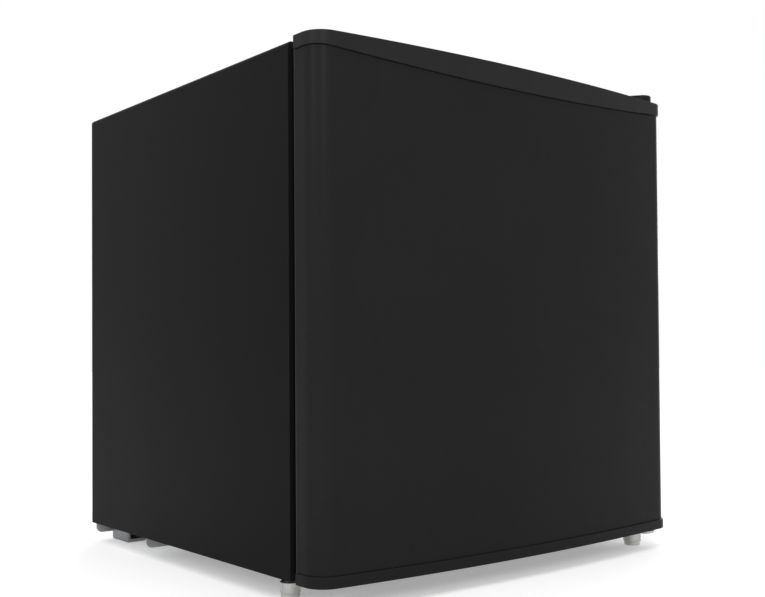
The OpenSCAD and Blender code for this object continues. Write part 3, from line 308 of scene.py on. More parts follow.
class EffectShop:
    """Builds each effect's node group once and places it in the materials."""

    def __init__(self) -> None:
        """Starts with no group made."""
        self.made: dict[Effect, bpy.types.ShaderNodeTree] = {}

    def use(self, wiring: Wiring, effect: Effect, **inputs: Feed) -> bpy.types.NodeOutputs:
        """Places an effect in a material.

        Args:
            wiring: the material's wiring.
            effect: the effect.
            **inputs: its inputs, by name.

        Returns:
            The effect's outputs, by name.
        """
        if effect not in self.made:
            self.made[effect] = self.build(effect)
        node = wiring.add("Group", node_tree=self.made[effect])
        for key, value in inputs.items():
            wiring.feed(node.inputs[key.title()], value)
        return node.outputs

    def build(self, effect: Effect) -> bpy.types.ShaderNodeTree:
        """Builds one effect's node group.

        Args:
            effect: the effect.

        Returns:
            Its node tree.
        """
        defaults, recipe = {
            Effect.EDGE_WEAR: ({"Radius": 0.001, "Coverage": 0.5}, self.edge_wear),
            Effect.GRAIN: ({"Scale": 900.0}, self.grain),
            Effect.ORANGE_PEEL: ({"Scale": 600.0}, self.orange_peel),
            Effect.HANDLING: ({"Scale": 14.0}, self.handling),
            Effect.DUST: ({"Amount": 0.3}, self.dust),
            Effect.BRUSHED: ({"Along": 12.0, "Across": 2600.0}, self.brushed),
            Effect.SPANGLE: ({"Scale": 110.0}, self.spangle),
            Effect.SCUFFS: ({"Amount": 0.5}, self.scuffs),
            Effect.TARNISH: ({"Scale": 60.0}, self.tarnish),
        }[effect]
        tree = bpy.data.node_groups.new(effect.value, "ShaderNodeTree")
        for name, value in defaults.items():
            tree.interface.new_socket(name, in_out="INPUT", socket_type="NodeSocketFloat").default_value = value
        w = Wiring(tree)
        w.entry = tree.nodes.new("NodeGroupInput")
        results = recipe(w)
        for name in results:
            tree.interface.new_socket(name, in_out="OUTPUT", socket_type="NodeSocketFloat")
        leave = tree.nodes.new("NodeGroupOutput")
        for name, value in results.items():
            tree.links.new(value, leave.inputs[name])
        return tree

    @staticmethod
    def edge_wear(w: Wiring) -> Feeds:
        """Marks edges, in broken patches.

        Args:
            w: the group's wiring.

        Returns:
            The mask.
        """
        rounded = w.add("Bevel", {"Radius": w.given("Radius")}, samples=4).outputs[0]
        normal = w.add("NewGeometry").outputs["Normal"]
        facing = w.add("VectorMath", {0: rounded, 1: normal}, operation="DOT_PRODUCT").outputs["Value"]
        edge = w.step(w.math("SUBTRACT", 1.0, facing), 0.015, 0.22)
        patches = w.step(w.noise(170.0, detail=5.0), 0.38, 0.62, start=0.25, end=1.0)
        return {"Mask": w.times(w.times(edge, patches), w.given("Coverage"))}

    @staticmethod
    def grain(w: Wiring) -> Feeds:
        """Gives the pebbled grain of a spark-eroded mould.

        Args:
            w: the group's wiring.

        Returns:
            Its height and its tone.
        """
        scale = w.given("Scale")
        coarse = w.add("TexVoronoi", {"Vector": w.place(), "Scale": scale}, feature="SMOOTH_F1").outputs["Distance"]
        fine = w.noise(w.times(scale, 2.3), detail=3.0)
        height = w.plus(w.times(coarse, 0.7), w.times(fine, 0.3))
        return {"Height": height, "Tone": w.noise(w.times(scale, 0.11), detail=3.0)}

    @staticmethod
    def orange_peel(w: Wiring) -> Feeds:
        """Gives the shallow waves of sprayed paint.

        Args:
            w: the group's wiring.

        Returns:
            Its height and a speckle of fine nibs.
        """
        scale = w.given("Scale")
        waves = w.noise(scale, detail=1.0)
        long_waves = w.noise(w.times(scale, 0.12), detail=1.0)
        height = w.plus(w.times(waves, 0.45), w.times(long_waves, 0.55))
        nibs = w.step(w.noise(w.times(scale, 2.6), detail=0.0), 0.74, 0.84)
        return {"Height": height, "Nibs": nibs}

    @staticmethod
    def handling(w: Wiring) -> Feeds:
        """Gives faint smears where hands and cloths have wiped.

        Args:
            w: the group's wiring.

        Returns:
            The mask.
        """
        scale = w.given("Scale")
        areas = w.step(w.noise(scale, detail=3.0, twist=0.8), 0.42, 0.68)
        wipes = w.noise(w.times(scale, 9.0), detail=3.0, at=w.stretched((1.0, 1.0, 0.18), (0.3, 0.5, 0.2)))
        return {"Mask": w.times(areas, w.step(wipes, 0.3, 0.75, start=0.35, end=1.0))}

    @staticmethod
    def dust(w: Wiring) -> Feeds:
        """Gives dust on faces that look up.

        Args:
            w: the group's wiring.

        Returns:
            The mask.
        """
        normal = w.add("NewGeometry").outputs["Normal"]
        up = w.step(w.add("SeparateXYZ", {0: normal}).outputs["Z"], 0.35, 0.95)
        cloud = w.step(w.noise(22.0, detail=4.0, twist=0.5), 0.3, 0.8, start=0.5, end=1.0)
        specks = w.step(w.noise(1400.0, detail=1.0), 0.5, 0.74, start=0.35, end=1.0)
        settled = w.times(w.times(up, cloud), specks)
        return {"Mask": w.times(settled, w.given("Amount"))}

    @staticmethod
    def brushed(w: Wiring) -> Feeds:
        """Gives fine lines that run along the y axis, from rolling or brushing.

        Args:
            w: the group's wiring.

        Returns:
            Their height and tone.
        """
        along, across = w.given("Along"), w.given("Across")
        scale = w.add("CombineXYZ", {0: across, 1: along, 2: across}).outputs[0]
        stretched = w.add("VectorMath", {0: w.place(), 1: scale}, operation="MULTIPLY").outputs[0]
        lines = w.noise(1.0, detail=3.0, at=stretched)
        broad = w.add("VectorMath", {0: stretched, 1: (0.09, 0.4, 0.09)}, operation="MULTIPLY").outputs[0]
        return {"Height": lines, "Tone": w.noise(1.0, at=broad)}

    @staticmethod
    def spangle(w: Wiring) -> Feeds:
        """Gives the crystal facets of hot-dipped zinc.

        Args:
            w: the group's wiring.

        Returns:
            A tone for each facet, and the height of its edge.
        """
        scale = w.given("Scale")
        sway = w.times(w.noise(260.0), 0.006)
        warp = w.add("VectorMath", {0: w.place(), 1: sway}, operation="ADD").outputs[0]
        cells = w.add("TexVoronoi", {"Vector": warp, "Scale": scale})
        tone = w.add("SeparateColor", {0: cells.outputs["Color"]}).outputs[0]
        grown = w.times(w.noise(900.0, at=w.stretched((1, 5, 1))), 0.35)
        height = w.noise(1100.0)
        return {"Tone": w.plus(w.times(tone, 0.65), grown), "Height": height}

    @staticmethod
    def scuffs(w: Wiring) -> Feeds:
        """Gives thin stray scratches in three directions.

        Args:
            w: the group's wiring.

        Returns:
            The mask.
        """
        total: Feed = 0.0
        for turn, seed in (((0.4, 0.2, 0.9), 31.0), ((1.1, 0.7, 2.2), 43.0), ((0.2, 1.4, 0.3), 37.0)):
            line = w.noise(seed, at=w.stretched((1.0, 26.0, 26.0), turn))
            near = w.math("ABSOLUTE", w.math("SUBTRACT", line, 0.5))
            total = w.most(total, w.step(near, 0.0, 0.006, start=1.0, end=0.0))
        where = w.step(w.noise(11.0), 0.5, 0.72)
        return {"Mask": w.times(w.times(total, where), w.given("Amount"))}

    @staticmethod
    def tarnish(w: Wiring) -> Feeds:
        """Gives blotches of oxide with fine mottling inside.

        Args:
            w: the group's wiring.

        Returns:
            The mask and the mottle.
        """
        scale = w.given("Scale")
        blotch = w.step(w.noise(scale, detail=5.0, twist=0.9), 0.4, 0.66)
        mottle = w.noise(w.times(scale, 11.0), detail=3.0)
        return {"Mask": w.times(blotch, w.step(mottle, 0.25, 0.7, start=0.4, end=1.0)), "Mottle": mottle}


EFFECTS = EffectShop()


@dataclass(frozen=True)
class Finish:
    """A finish: its name, its colour as written, and how rough it is."""

    name: str
    colour: str
    roughness: float = 0.4

    def dress(self) -> bpy.types.Material:
        """Makes the finish's material, once.

        Returns:
            The material.
        """
        made = bpy.data.materials.get(self.name)
        if made:
            return made
        material = bpy.data.materials.new(self.name)
        w = blank(material)
        w.add("OutputMaterial", {0: w.add("BsdfPrincipled", self.wire(w)).outputs[0]})
        return material

    def shade(self, factor: float) -> Colour:
        """Returns the finish's colour in linear light, times a factor."""
        return tuple(Vector(srgb(self.colour)) * factor)

    def wire(self, w: Wiring) -> Feeds:
        """Wires the finish's pattern.

        Args:
            w: the material's wiring.

        Returns:
            The inputs of its surface, by name.
        """
        raise NotImplementedError


@dataclass(frozen=True)
class Dusty(Finish):
    """A finish that dust settles on: how much, its colour, how far it covers and how much it dulls."""

    dust: float = 0.2
    grime: str = "77736A"
    cover: float = 0.6
    dulls: float = 0.3

    def settle(self, w: Wiring, tone: Feed, rough: Feed) -> Feeds:
        """Lays the dust over a colour and a roughness.

        Args:
            w: the material's wiring.
            tone: the colour below the dust.
            rough: the roughness below the dust.

        Returns:
            The dusty colour and roughness, by their inputs' names.
        """
        dust = EFFECTS.use(w, Effect.DUST, amount=self.dust)["Mask"]
        tone = w.tint(w.times(dust, self.cover), tone, srgb(self.grime))
        return {"Base Color": tone, "Roughness": w.plus(rough, w.times(dust, self.dulls))}


@dataclass(frozen=True)
class Paint(Dusty):
    """Sprayed paint on steel, with orange peel, wiped areas, worn edges and a little dust."""

    gloss: float = 0.14
    peel: float = 620.0
    peel_depth: float = 30 * MICRON
    worn: str = "4A4A4B"
    wear: float = 0.6
    dust: float = 0.25
    grime: str = "6B6860"
    cover: float = 0.5
    wiped: float = 9.0
    edge: float = 0.7 * MM
    cloud: float = 0.07
    wiped_share: float = 0.3
    wiped_tone: float = 1.18
    scuff_share: float = 0.12
    smear_dulls: float = 0.04
    edge_polish: float = 0.1
    nib_height: float = 0.25

    def wire(self, w: Wiring) -> Feeds:
        """Wires the paint.

        Args:
            w: the material's wiring.

        Returns:
            The inputs of its surface, by name.
        """
        peel = EFFECTS.use(w, Effect.ORANGE_PEEL, scale=self.peel)
        hand = EFFECTS.use(w, Effect.HANDLING, scale=self.wiped)["Mask"]
        edge = EFFECTS.use(w, Effect.EDGE_WEAR, radius=self.edge, coverage=self.wear)["Mask"]
        scuff = EFFECTS.use(w, Effect.SCUFFS, amount=0.5)["Mask"]
        tone = w.tint(w.noise(6.0), self.shade(1 - self.cloud), self.shade(1 + self.cloud))
        tone = w.tint(w.times(hand, self.wiped_share), tone, self.shade(self.wiped_tone))
        tone = w.tint(w.times(scuff, self.scuff_share), tone, srgb(self.worn))
        tone = w.tint(edge, tone, srgb(self.worn))
        rough = w.plus(w.times(hand, self.smear_dulls), self.roughness)
        rough = w.math("SUBTRACT", rough, w.times(edge, self.edge_polish))
        height = w.plus(peel["Height"], w.times(peel["Nibs"], self.nib_height))
        normal = w.bump(height, self.peel_depth)
        return {**self.settle(w, tone, rough), "Specular IOR Level": self.gloss, "Normal": normal}


@dataclass(frozen=True)
class Moulding(Finish):
    """Moulded plastic: a mould's grain, faint flow marks, rubbed edges and a soft glow where it is pale."""

    grain: float = 1500.0
    depth: float = 40 * MICRON
    gloss: float = 0.35
    worn: str = "5A5A5A"
    dust: float = 0.15
    grime: str = "8A867C"
    wiped: float = 17.0
    edge: float = 0.9 * MM
    glow: float = 0.0
    glow_reach: float = 3 * MM
    flow: float = 0.05
    streaks: float = 26.0
    streak_twist: float = 0.6
    hand_polish: float = 0.08
    edge_polish: float = 0.06
    # rim and the two fields below paint shade: a dark band over the moulding outside a box about its middle.
    rim: str = ""
    rim_half: float = 0.0
    rim_centre: float = 0.0

    def wire(self, w: Wiring) -> Feeds:
        """Wires the plastic.

        Args:
            w: the material's wiring.

        Returns:
            The inputs of its surface, by name.
        """
        grain = EFFECTS.use(w, Effect.GRAIN, scale=self.grain)
        hand = EFFECTS.use(w, Effect.HANDLING, scale=self.wiped)["Mask"]
        edge = EFFECTS.use(w, Effect.EDGE_WEAR, radius=self.edge, coverage=0.5)["Mask"]
        dust = EFFECTS.use(w, Effect.DUST, amount=self.dust)["Mask"]
        flow = w.noise(self.streaks, detail=3.0, twist=self.streak_twist, at=w.stretched((1.0, 1.0, 0.25)))
        tone = w.tint(w.step(flow, 0.3, 0.7), self.shade(1 - self.flow), self.shade(1 + self.flow * 0.6))
        tone = w.tint(w.step(grain["Tone"], 0.35, 0.7, end=0.25), tone, self.shade(1 - self.flow))
        tone = w.tint(edge, tone, srgb(self.worn))
        tone = w.tint(dust, tone, srgb(self.grime))
        # Painted shade: a dark band outside a box about the middle, for the shade in the door gap.
        if self.rim:
            spot = w.add("SeparateXYZ", {0: w.place()}).outputs
            away = w.math("ABSOLUTE", w.math("SUBTRACT", spot["Z"], self.rim_centre))
            away = w.most(w.math("ABSOLUTE", spot["X"]), away)
            tone = w.tint(w.math("GREATER_THAN", away, self.rim_half), tone, srgb(self.rim))
        rough = w.plus(w.times(hand, -self.hand_polish), self.roughness)
        surface = {
            "Base Color": tone,
            "Roughness": w.plus(rough, w.times(edge, -self.edge_polish)),
            "Specular IOR Level": self.gloss,
            "Normal": w.bump(grain["Height"], self.depth),
        }
        if self.glow:
            reach = (self.glow_reach,) * 3
            surface |= {"Subsurface Weight": self.glow, "Subsurface Radius": reach, "Subsurface Scale": 1.0}
        return surface


class Texture(Enum):
    """How a plain metal's face was made."""

    SPANGLE = "spangle"
    ROLLED = "rolled"
    PLATED = "plated"


@dataclass(frozen=True)
class Metal(Dusty):
    """Bare or plated metal: spangled, rolled or plated, with scuffs, dulled patches and brighter edges."""

    texture: Texture = Texture.PLATED
    dull: str = "6E6D6A"
    edge: float = 0.6 * MM
    blotches: float = 38.0
    stained: float = 0.22
    contrast: float = 0.18
    uneven: float = 0.16
    bright: float = 1.2
    stain_dulls: float = 0.6
    relief: float = 0.6
    metallic: float = 1.0

    def wire(self, w: Wiring) -> Feeds:
        """Wires the metal.

        Args:
            w: the material's wiring.

        Returns:
            The inputs of its surface, by name.
        """
        effect, inputs, depth = {
            Texture.SPANGLE: (Effect.SPANGLE, {"scale": 120.0}, 20 * MICRON),
            Texture.ROLLED: (Effect.BRUSHED, {"along": 14.0, "across": 2400.0}, 30 * MICRON),
            Texture.PLATED: (Effect.GRAIN, {"scale": 2600.0}, 8 * MICRON),
        }[self.texture]
        face = EFFECTS.use(w, effect, **inputs)
        edge = EFFECTS.use(w, Effect.EDGE_WEAR, radius=self.edge, coverage=0.7)["Mask"]
        stain = EFFECTS.use(w, Effect.TARNISH, scale=self.blotches)["Mask"]
        scuff = EFFECTS.use(w, Effect.SCUFFS, amount=0.7)["Mask"]
        tone = w.tint(face["Tone"], self.shade(1 - self.contrast), self.shade(1 + self.contrast * 0.5))
        tone = w.tint(w.times(stain, self.stained), tone, srgb(self.dull))
        tone = w.tint(w.most(edge, scuff), tone, self.shade(self.bright))
        rough = w.plus(w.times(face["Tone"], self.uneven), self.roughness - self.uneven / 2)
        rough = w.plus(rough, w.times(stain, self.stained * self.stain_dulls))
        normal = w.bump(face["Height"], depth, self.relief)
        return {**self.settle(w, tone, rough), "Metallic": self.metallic, "Normal": normal}


@dataclass(frozen=True)
class DrawnCopper(Dusty):
    """Drawn copper tube with brown tarnish and bright scuffs."""

    dust: float = 0.35
    grime: str = "7A7264"
    tarnish: str = "7C523E"
    bright: str = "D9A385"
    blotches: float = 26.0
    share: float = 0.6
    stain_dulls: float = 0.22
    darkest: float = 0.85
    lightest: float = 1.12
    depth: float = 30 * MICRON
    relief: float = 0.7

    def wire(self, w: Wiring) -> Feeds:
        """Wires the copper.

        Args:
            w: the material's wiring.

        Returns:
            The inputs of its surface, by name.
        """
        stain = EFFECTS.use(w, Effect.TARNISH, scale=self.blotches)
        scuff = EFFECTS.use(w, Effect.SCUFFS, amount=0.8)["Mask"]
        tone = w.tint(stain["Mottle"], self.shade(self.darkest), self.shade(self.lightest))
        tone = w.tint(w.times(stain["Mask"], self.share), tone, srgb(self.tarnish))
        tone = w.tint(w.times(scuff, self.share), tone, srgb(self.bright))
        rough = w.plus(w.times(stain["Mask"], self.stain_dulls), self.roughness)
        normal = w.bump(stain["Mottle"], self.depth, self.relief)
        return {**self.settle(w, tone, rough), "Metallic": 1.0, "Normal": normal}


@dataclass(frozen=True)
class Rubber(Finish):
    """Soft rubber or vinyl with a chalky bloom and a faint skin texture."""

    bloom: str = "4B4A48"
    gloss: float = 0.25
    chalk: float = 30.0
    edge: float = 0.8 * MM
    uneven: float = 0.15
    chalk_share: float = 0.35
    edge_share: float = 0.4
    depth: float = 50 * MICRON
    relief: float = 0.8

    def wire(self, w: Wiring) -> Feeds:
        """Wires the rubber.

        Args:
            w: the material's wiring.

        Returns:
            The inputs of its surface, by name.
        """
        skin = EFFECTS.use(w, Effect.GRAIN, scale=2100.0)
        chalk = EFFECTS.use(w, Effect.HANDLING, scale=self.chalk)["Mask"]
        edge = EFFECTS.use(w, Effect.EDGE_WEAR, radius=self.edge, coverage=0.5)["Mask"]
        tone = w.tint(skin["Tone"], self.shade(1 - self.uneven), self.shade(1 + self.uneven))
        bloom = w.most(w.times(chalk, self.chalk_share), w.times(edge, self.edge_share))
        return {
            "Base Color": w.tint(bloom, tone, srgb(self.bloom)),
            "Roughness": w.plus(w.times(chalk, self.uneven), self.roughness),
            "Specular IOR Level": self.gloss,
            "Normal": w.bump(skin["Height"], self.depth, self.relief),
        }


@dataclass(frozen=True)
class CutFoam(Finish):
    """Rigid foam: fine closed cells, yellowed patches, and painted shade along the caps' seams."""

    cells: float = 900.0
    blotches: float = 20.0
    aged: str = "B89B5E"
    aged_share: float = 0.5
    lightest: float = 1.05
    darkest: float = 0.8
    cell_dulls: float = 0.2
    depth: float = 0.4 * MM
    relief: float = 0.7
    tape: str = "141414"
    tape_low: float = -1.0
    tape_high: float = 1.0

    def wire(self, w: Wiring) -> Feeds:
        """Wires the foam.

        Args:
            w: the material's wiring.

        Returns:
            The inputs of its surface, by name.
        """
        inputs = {"Vector": w.place(), "Scale": self.cells}
        cells = w.add("TexVoronoi", inputs, feature="SMOOTH_F1").outputs["Distance"]
        aged = EFFECTS.use(w, Effect.TARNISH, scale=self.blotches)["Mask"]
        tone = w.tint(cells, self.shade(self.lightest), self.shade(self.darkest))
        tone = w.tint(w.times(aged, self.aged_share), tone, srgb(self.aged))
        # Painted shade: the foam is darkened below and above two heights, along the caps' seams, where it lies in
        # shade.
        height = w.add("SeparateXYZ", {0: w.place()}).outputs["Z"]
        below, above = w.math("LESS_THAN", height, self.tape_low), w.math("GREATER_THAN", height, self.tape_high)
        return {
            "Base Color": w.tint(w.most(below, above), tone, srgb(self.tape)),
            "Roughness": w.plus(w.times(cells, self.cell_dulls), self.roughness),
            "Normal": w.bump(cells, self.depth, self.relief),
        }


@dataclass(frozen=True)
class Clear(Finish):
    """Glass or clear plastic, a little tinted, with wiped smears and fine scuffs."""

    index: float = 1.5
    tinted: float = 0.1
    smears: float = 16.0
    smear_share: float = 0.3
    smear_dulls: float = 0.05
    scuff_dulls: float = 0.25
    waves: float = 60.0
    depth: float = 40 * MICRON
    relief: float = 0.5

    def wire(self, w: Wiring) -> Feeds:
        """Wires the clear material.

        Args:
            w: the material's wiring.

        Returns:
            The inputs of its surface, by name.
        """
        smear = EFFECTS.use(w, Effect.HANDLING, scale=self.smears)["Mask"]
        scuff = EFFECTS.use(w, Effect.SCUFFS, amount=0.8)["Mask"]
        clean = tuple(Vector((1, 1, 1)).lerp(Vector(srgb(self.colour)), self.tinted))
        rough = w.plus(w.times(smear, self.smear_dulls), self.roughness)
        waves = EFFECTS.use(w, Effect.ORANGE_PEEL, scale=self.waves)["Height"]
        return {
            "Base Color": w.tint(w.times(smear, self.smear_share), clean, srgb(self.colour)),
            "Roughness": w.plus(rough, w.times(scuff, self.scuff_dulls)),
            "Transmission Weight": 1.0,
            "IOR": self.index,
            "Normal": w.bump(waves, self.depth, self.relief),
        }


FINISHES: dict[Slot, Finish] = {
    Slot.BLACK_SKIN: Paint("satin_black_paint", "1A1A1B", 0.36, gloss=0.016, wear=0.15, dust=0.04),
    Slot.GALVANISED: Metal(
        "galvanised_sheet", "ACAEB0", 0.46, texture=Texture.SPANGLE, dull="8C8D8E", dust=0.08, stained=0.05,
        contrast=0.2, uneven=0.06, metallic=0.75,
    ),
    Slot.ZINC: Metal("zinc_plate", "B4B7BC", 0.3, texture=Texture.ROLLED, dull="85806F"),
    Slot.NICKEL: Metal("nickel_plate", "A9A8A3", 0.28, dull="77746B"),
    Slot.BLACK_PLASTIC: Moulding("black_cap_plastic", "262627", 0.34, gloss=0.035, worn="3A3A3B", dust=0.05),
    Slot.LINER_WHITE: Moulding(
        "white_liner_plastic", "E6E8E8", 0.26, grain=700.0, depth=10 * MICRON, gloss=0.45, worn="F2F3F3", dust=0.02,
        glow=0.06, flow=0.012,
    ),
    Slot.NYLON: Moulding(
        "natural_nylon", "DDD8C8", 0.42, grain=1900.0, depth=20 * MICRON, gloss=0.4, worn="EFEBDD", dust=0.05,
        glow=0.2, flow=0.03,
    ),
    Slot.FOAM: CutFoam("rigid_foam", "D9C48C", 0.75),
    Slot.COPPER: DrawnCopper("copper_tube", "B27E63", 0.27),
    Slot.ALUMINIUM: Metal(
        "rolled_aluminium", "D4D8DC", 0.4, texture=Texture.ROLLED, dull="A9ADB0", dust=0.03, stained=0.08,
        contrast=0.1,
    ),
    Slot.RUBBER: Rubber("gasket_rubber", "363637", 0.6),
    Slot.COMPRESSOR_PAINT: Paint(
        "compressor_enamel", "151516", 0.22, gloss=0.5, peel=260.0, peel_depth=90 * MICRON, worn="55524D", dust=0.6
    ),
    Slot.GLASS: Clear("tempered_glass", "BFE3D8", 0.02, tinted=0.15, index=1.52),
    Slot.CLEAR_PLASTIC: Clear("clear_styrene", "CFE2EA", 0.07, tinted=0.3, index=1.57),
    Slot.FERRITE: Rubber("magnet_strip", "2C2A28", 0.7),
}


def placed(name: str, data: bpy.types.ID) -> bpy.types.Object:
    """Makes an object of some data and puts it in the scene.

    Args:
        name: the object's name.
        data: its mesh, curve, camera or lamp.

    Returns:
        The object.
    """
    item = bpy.data.objects.new(name, data)
    bpy.context.scene.collection.objects.link(item)
    return item


def written(name: str, bm: Shape) -> bpy.types.Mesh:
    """Writes a bmesh, which is freed, into a new mesh.

    Args:
        name: the mesh's name.
        bm: the bmesh.

    Returns:
        The mesh.
    """
    mesh = bpy.data.meshes.new(name)
    bm.to_mesh(mesh)
    bm.free()
    return mesh


def evaluated(item: bpy.types.Object) -> bpy.types.Mesh:
    """Makes a mesh of an object with its modifiers or its curve worked out, and removes the object.

    Args:
        item: the object.

    Returns:
        The mesh.
    """
    graph = bpy.context.evaluated_depsgraph_get()
    mesh = bpy.data.meshes.new_from_object(item.evaluated_get(graph))
    bpy.data.objects.remove(item)
    return mesh


def joined(mesh: bpy.types.Mesh) -> Shape:
    """Copies a mesh, with its doubled corners joined.

    Args:
        mesh: the mesh.

    Returns:
        The copy.
    """
    bm = bmesh.new()
    bm.from_mesh(mesh)
    bmesh.ops.remove_doubles(bm, verts=bm.verts, dist=WELD)
    return bm


def merged(node: str) -> Shape:
    """Copies a CAD node's mesh, with its loose triangles merged into faces.

    Args:
        node: the CAD node.

    Returns:
        The merged mesh.
    """
    bm = joined(frame["nodes"][node].data)
    bmesh.ops.dissolve_limit(
        bm, angle_limit=FLAT, use_dissolve_boundaries=False, verts=bm.verts, edges=bm.edges, delimit=set()
    )
    return bm


def ease(bm: Shape, radius: float, angle: float = 35.0, where: EdgeTest | None = None) -> None:
    """Rounds a mesh's sharp edges.

    Args:
        bm: the mesh.
        radius: the rounding, in metres.
        angle: the least angle of a sharp edge, in degrees.
        where: picks among the sharp edges.
    """
    least = math.radians(angle)
    sharp = [
        edge
        for edge in bm.edges
        if len(edge.link_faces) == 2 and edge.calc_face_angle(0.0) > least and (where is None or where(edge))
    ]
    bmesh.ops.bevel(
        bm, geom=sharp, offset=radius, segments=2, profile=0.5, affect="EDGES", clamp_overlap=False, material=-1
    )


def short_of(axis: str, limit: float) -> EdgeTest:
    """Returns a test that picks the edges wholly short of a limit along an axis."""
    way = AXES[axis]
    return lambda edge: all(vert.co.dot(way) < limit for vert in edge.verts)


def easing(**radii: float) -> dict[str, float]:
    """Returns a field of CAD nodes whose edges are eased, each with its radius in millimetres."""
    return field(default_factory=lambda: dict(radii))


def solids(node: str) -> list[tuple[Vector, Vector]]:
    """Boxes of the separate solids in a CAD node.

    Args:
        node: the CAD node.

    Returns:
        Lowest and highest corner of each, from left to right and from front to back.
    """
    bm = joined(frame["nodes"][node].data)
    left, found = set(bm.verts), []
    while left:
        group, front = set(), [left.pop()]
        while front:
            vert = front.pop()
            group.add(vert)
            near = {edge.other_vert(vert) for edge in vert.link_edges} & left
            left -= near
            front.extend(near)
        axes = list(zip(*(vert.co for vert in group)))
        found.append((Vector(map(min, axes)), Vector(map(max, axes))))
    bm.free()
    return sorted(found, key=lambda box: (round(box[0].x, 3), round(box[0].y, 3), box[0].z))


def deliver(
    name: str,
    bm: Shape,
    slot: Slot,
    body: Body,
    replaces: Sequence[str] = (),
    finish: Finish | None = None,
    crease: float = 42.0,
) -> None:
    """Turns a finished mesh into a piece of the fridge.

    Args:
        name: the piece's name.
        bm: its mesh, which is freed.
        slot: the record's slot that it takes its finish from.
        body: the body that it rides on.
        replaces: the CAD nodes that it stands for.
        finish: its finish, where that isn't the slot's own.
        crease: the least angle that stays sharp, in degrees.

    Raises:
        ValueError: where the mesh has no face.
    """
    if not bm.faces:
        raise ValueError(f"{name} has no face")
    for face in bm.faces:
        face.smooth = True
        face.material_index = 0
    for edge in bm.edges:
        edge.smooth = len(edge.link_faces) == 2 and edge.calc_face_angle(0.0) < math.radians(crease)
    mesh = written(name, bm)
    if "custom_normal" in mesh.attributes:
        mesh.attributes.remove(mesh.attributes["custom_normal"])
    piece = placed(name, mesh)
    mesh.materials.clear()
    mesh.materials.append((finish or FINISHES[slot]).dress())
    shading = piece.modifiers.new("weighted_normals", "WEIGHTED_NORMAL")
    shading.keep_sharp = True
    shading.weight = 60
    if replaces:
        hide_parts(*replaces)
    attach(piece, body.value)
    log.info("%s: %d faces, on %s", name, len(mesh.polygons), body.value)


def spun(profile: Points, steps: int, at: Vector = Vector(), axis: Vector = AXES["Z"]) -> Shape:
    """Turns a profile about an axis into a closed solid.

    Args:
        profile: radius and height of each point, from the bottom's centre to the top's centre.
        steps: faces round the axis.
        at: where the profile's zero is.
        axis: the way that height grows.

    Returns:
        The solid.
    """
    bm = bmesh.new()
    verts = [bm.verts.new((radius, 0.0, height)) for radius, height in profile]
    edges = [bm.edges.new(pair) for pair in zip(verts, verts[1:])]
    bmesh.ops.spin(
        bm, geom=verts + edges, cent=(0, 0, 0), axis=(0, 0, 1), angle=math.tau, steps=steps, use_merge=True
    )
    bmesh.ops.remove_doubles(bm, verts=bm.verts, dist=HAIR)
    bmesh.ops.dissolve_degenerate(bm, edges=bm.edges, dist=HAIR / 2)
    bmesh.ops.recalc_face_normals(bm, faces=bm.faces)
    turn = AXES["Z"].rotation_difference(axis).to_matrix().to_4x4()
    bmesh.ops.transform(bm, matrix=Matrix.Translation(at) @ turn, verts=bm.verts)
    return bm


def block(low: Sequence[float], high: Sequence[float]) -> Shape:
    """Makes a block.

    Args:
        low: its lowest corner.
        high: its highest corner.

    Returns:
        The block.
    """
    bm = bmesh.new()
    bmesh.ops.create_cube(bm, size=1.0)
    low, high = Vector(low), Vector(high)
    bmesh.ops.scale(bm, vec=high - low, verts=bm.verts)
    bmesh.ops.translate(bm, vec=(low + high) / 2, verts=bm.verts)
    return bm


def absorb(target: Shape, source: Shape | bpy.types.Mesh, move: Matrix = Matrix()) -> None:
    """Adds one mesh to another.

    Args:
        target: the mesh that grows.
        source: the mesh that is added, which is freed where it is a bmesh.
        move: where it goes.
    """
    mesh = written("part", source) if isinstance(source, Shape) else source.copy()
    mesh.transform(move)
    target.from_mesh(mesh)
    bpy.data.meshes.remove(mesh)


def carved(body: Shape, tool: Shape) -> bpy.types.Mesh:
    """Cuts one mesh out of another.

    Args:
        body: the mesh that is cut, which is freed.
        tool: the mesh that is cut away, which is freed.

    Returns:
        What is left.
    """
    stock, cutter = (placed("carving", written("carving", bm)) for bm in (body, tool))
    cut = stock.modifiers.new("cut", "BOOLEAN")
    cut.operation, cut.object, cut.solver, cut.use_self = "DIFFERENCE", cutter, "EXACT", True
    left = evaluated(stock)
    bpy.data.objects.remove(cutter)
    return left


def tube_along(path: Points, radius: float, bend: float) -> Shape:
    """Runs a round bead along a path whose corners are bent.

    Args:
        path: the path's corners.
        radius: the bead's radius.
        bend: the radius of its bends.

    Returns:
        The bead, closed at its ends.
    """
    corners, steps, sides = [Vector(p) for p in path], 6, 3
    line = [corners[0]]
    for before, corner, after in zip(corners, corners[1:], corners[2:]):
        start, end = (corner + (other - corner).normalized() * bend for other in (before, after))
        for t in (i / steps for i in range(steps + 1)):
            line.append(start * (1 - t) ** 2 + corner * (2 * t * (1 - t)) + end * t**2)
    line.append(corners[-1])
    curve = bpy.data.curves.new("bead", "CURVE")
    curve.dimensions, curve.bevel_depth, curve.bevel_resolution, curve.use_fill_caps = "3D", radius, sides, True
    spline = curve.splines.new("POLY")
    spline.points.add(len(line) - 1)
    for point, place in zip(spline.points, line):
        point.co = (*place, 1.0)
    mesh = evaluated(placed("bead", curve))
    bpy.data.curves.remove(curve)
    bm = joined(mesh)
    bpy.data.meshes.remove(mesh)
    bmesh.ops.recalc_face_normals(bm, faces=bm.faces)
    return bm


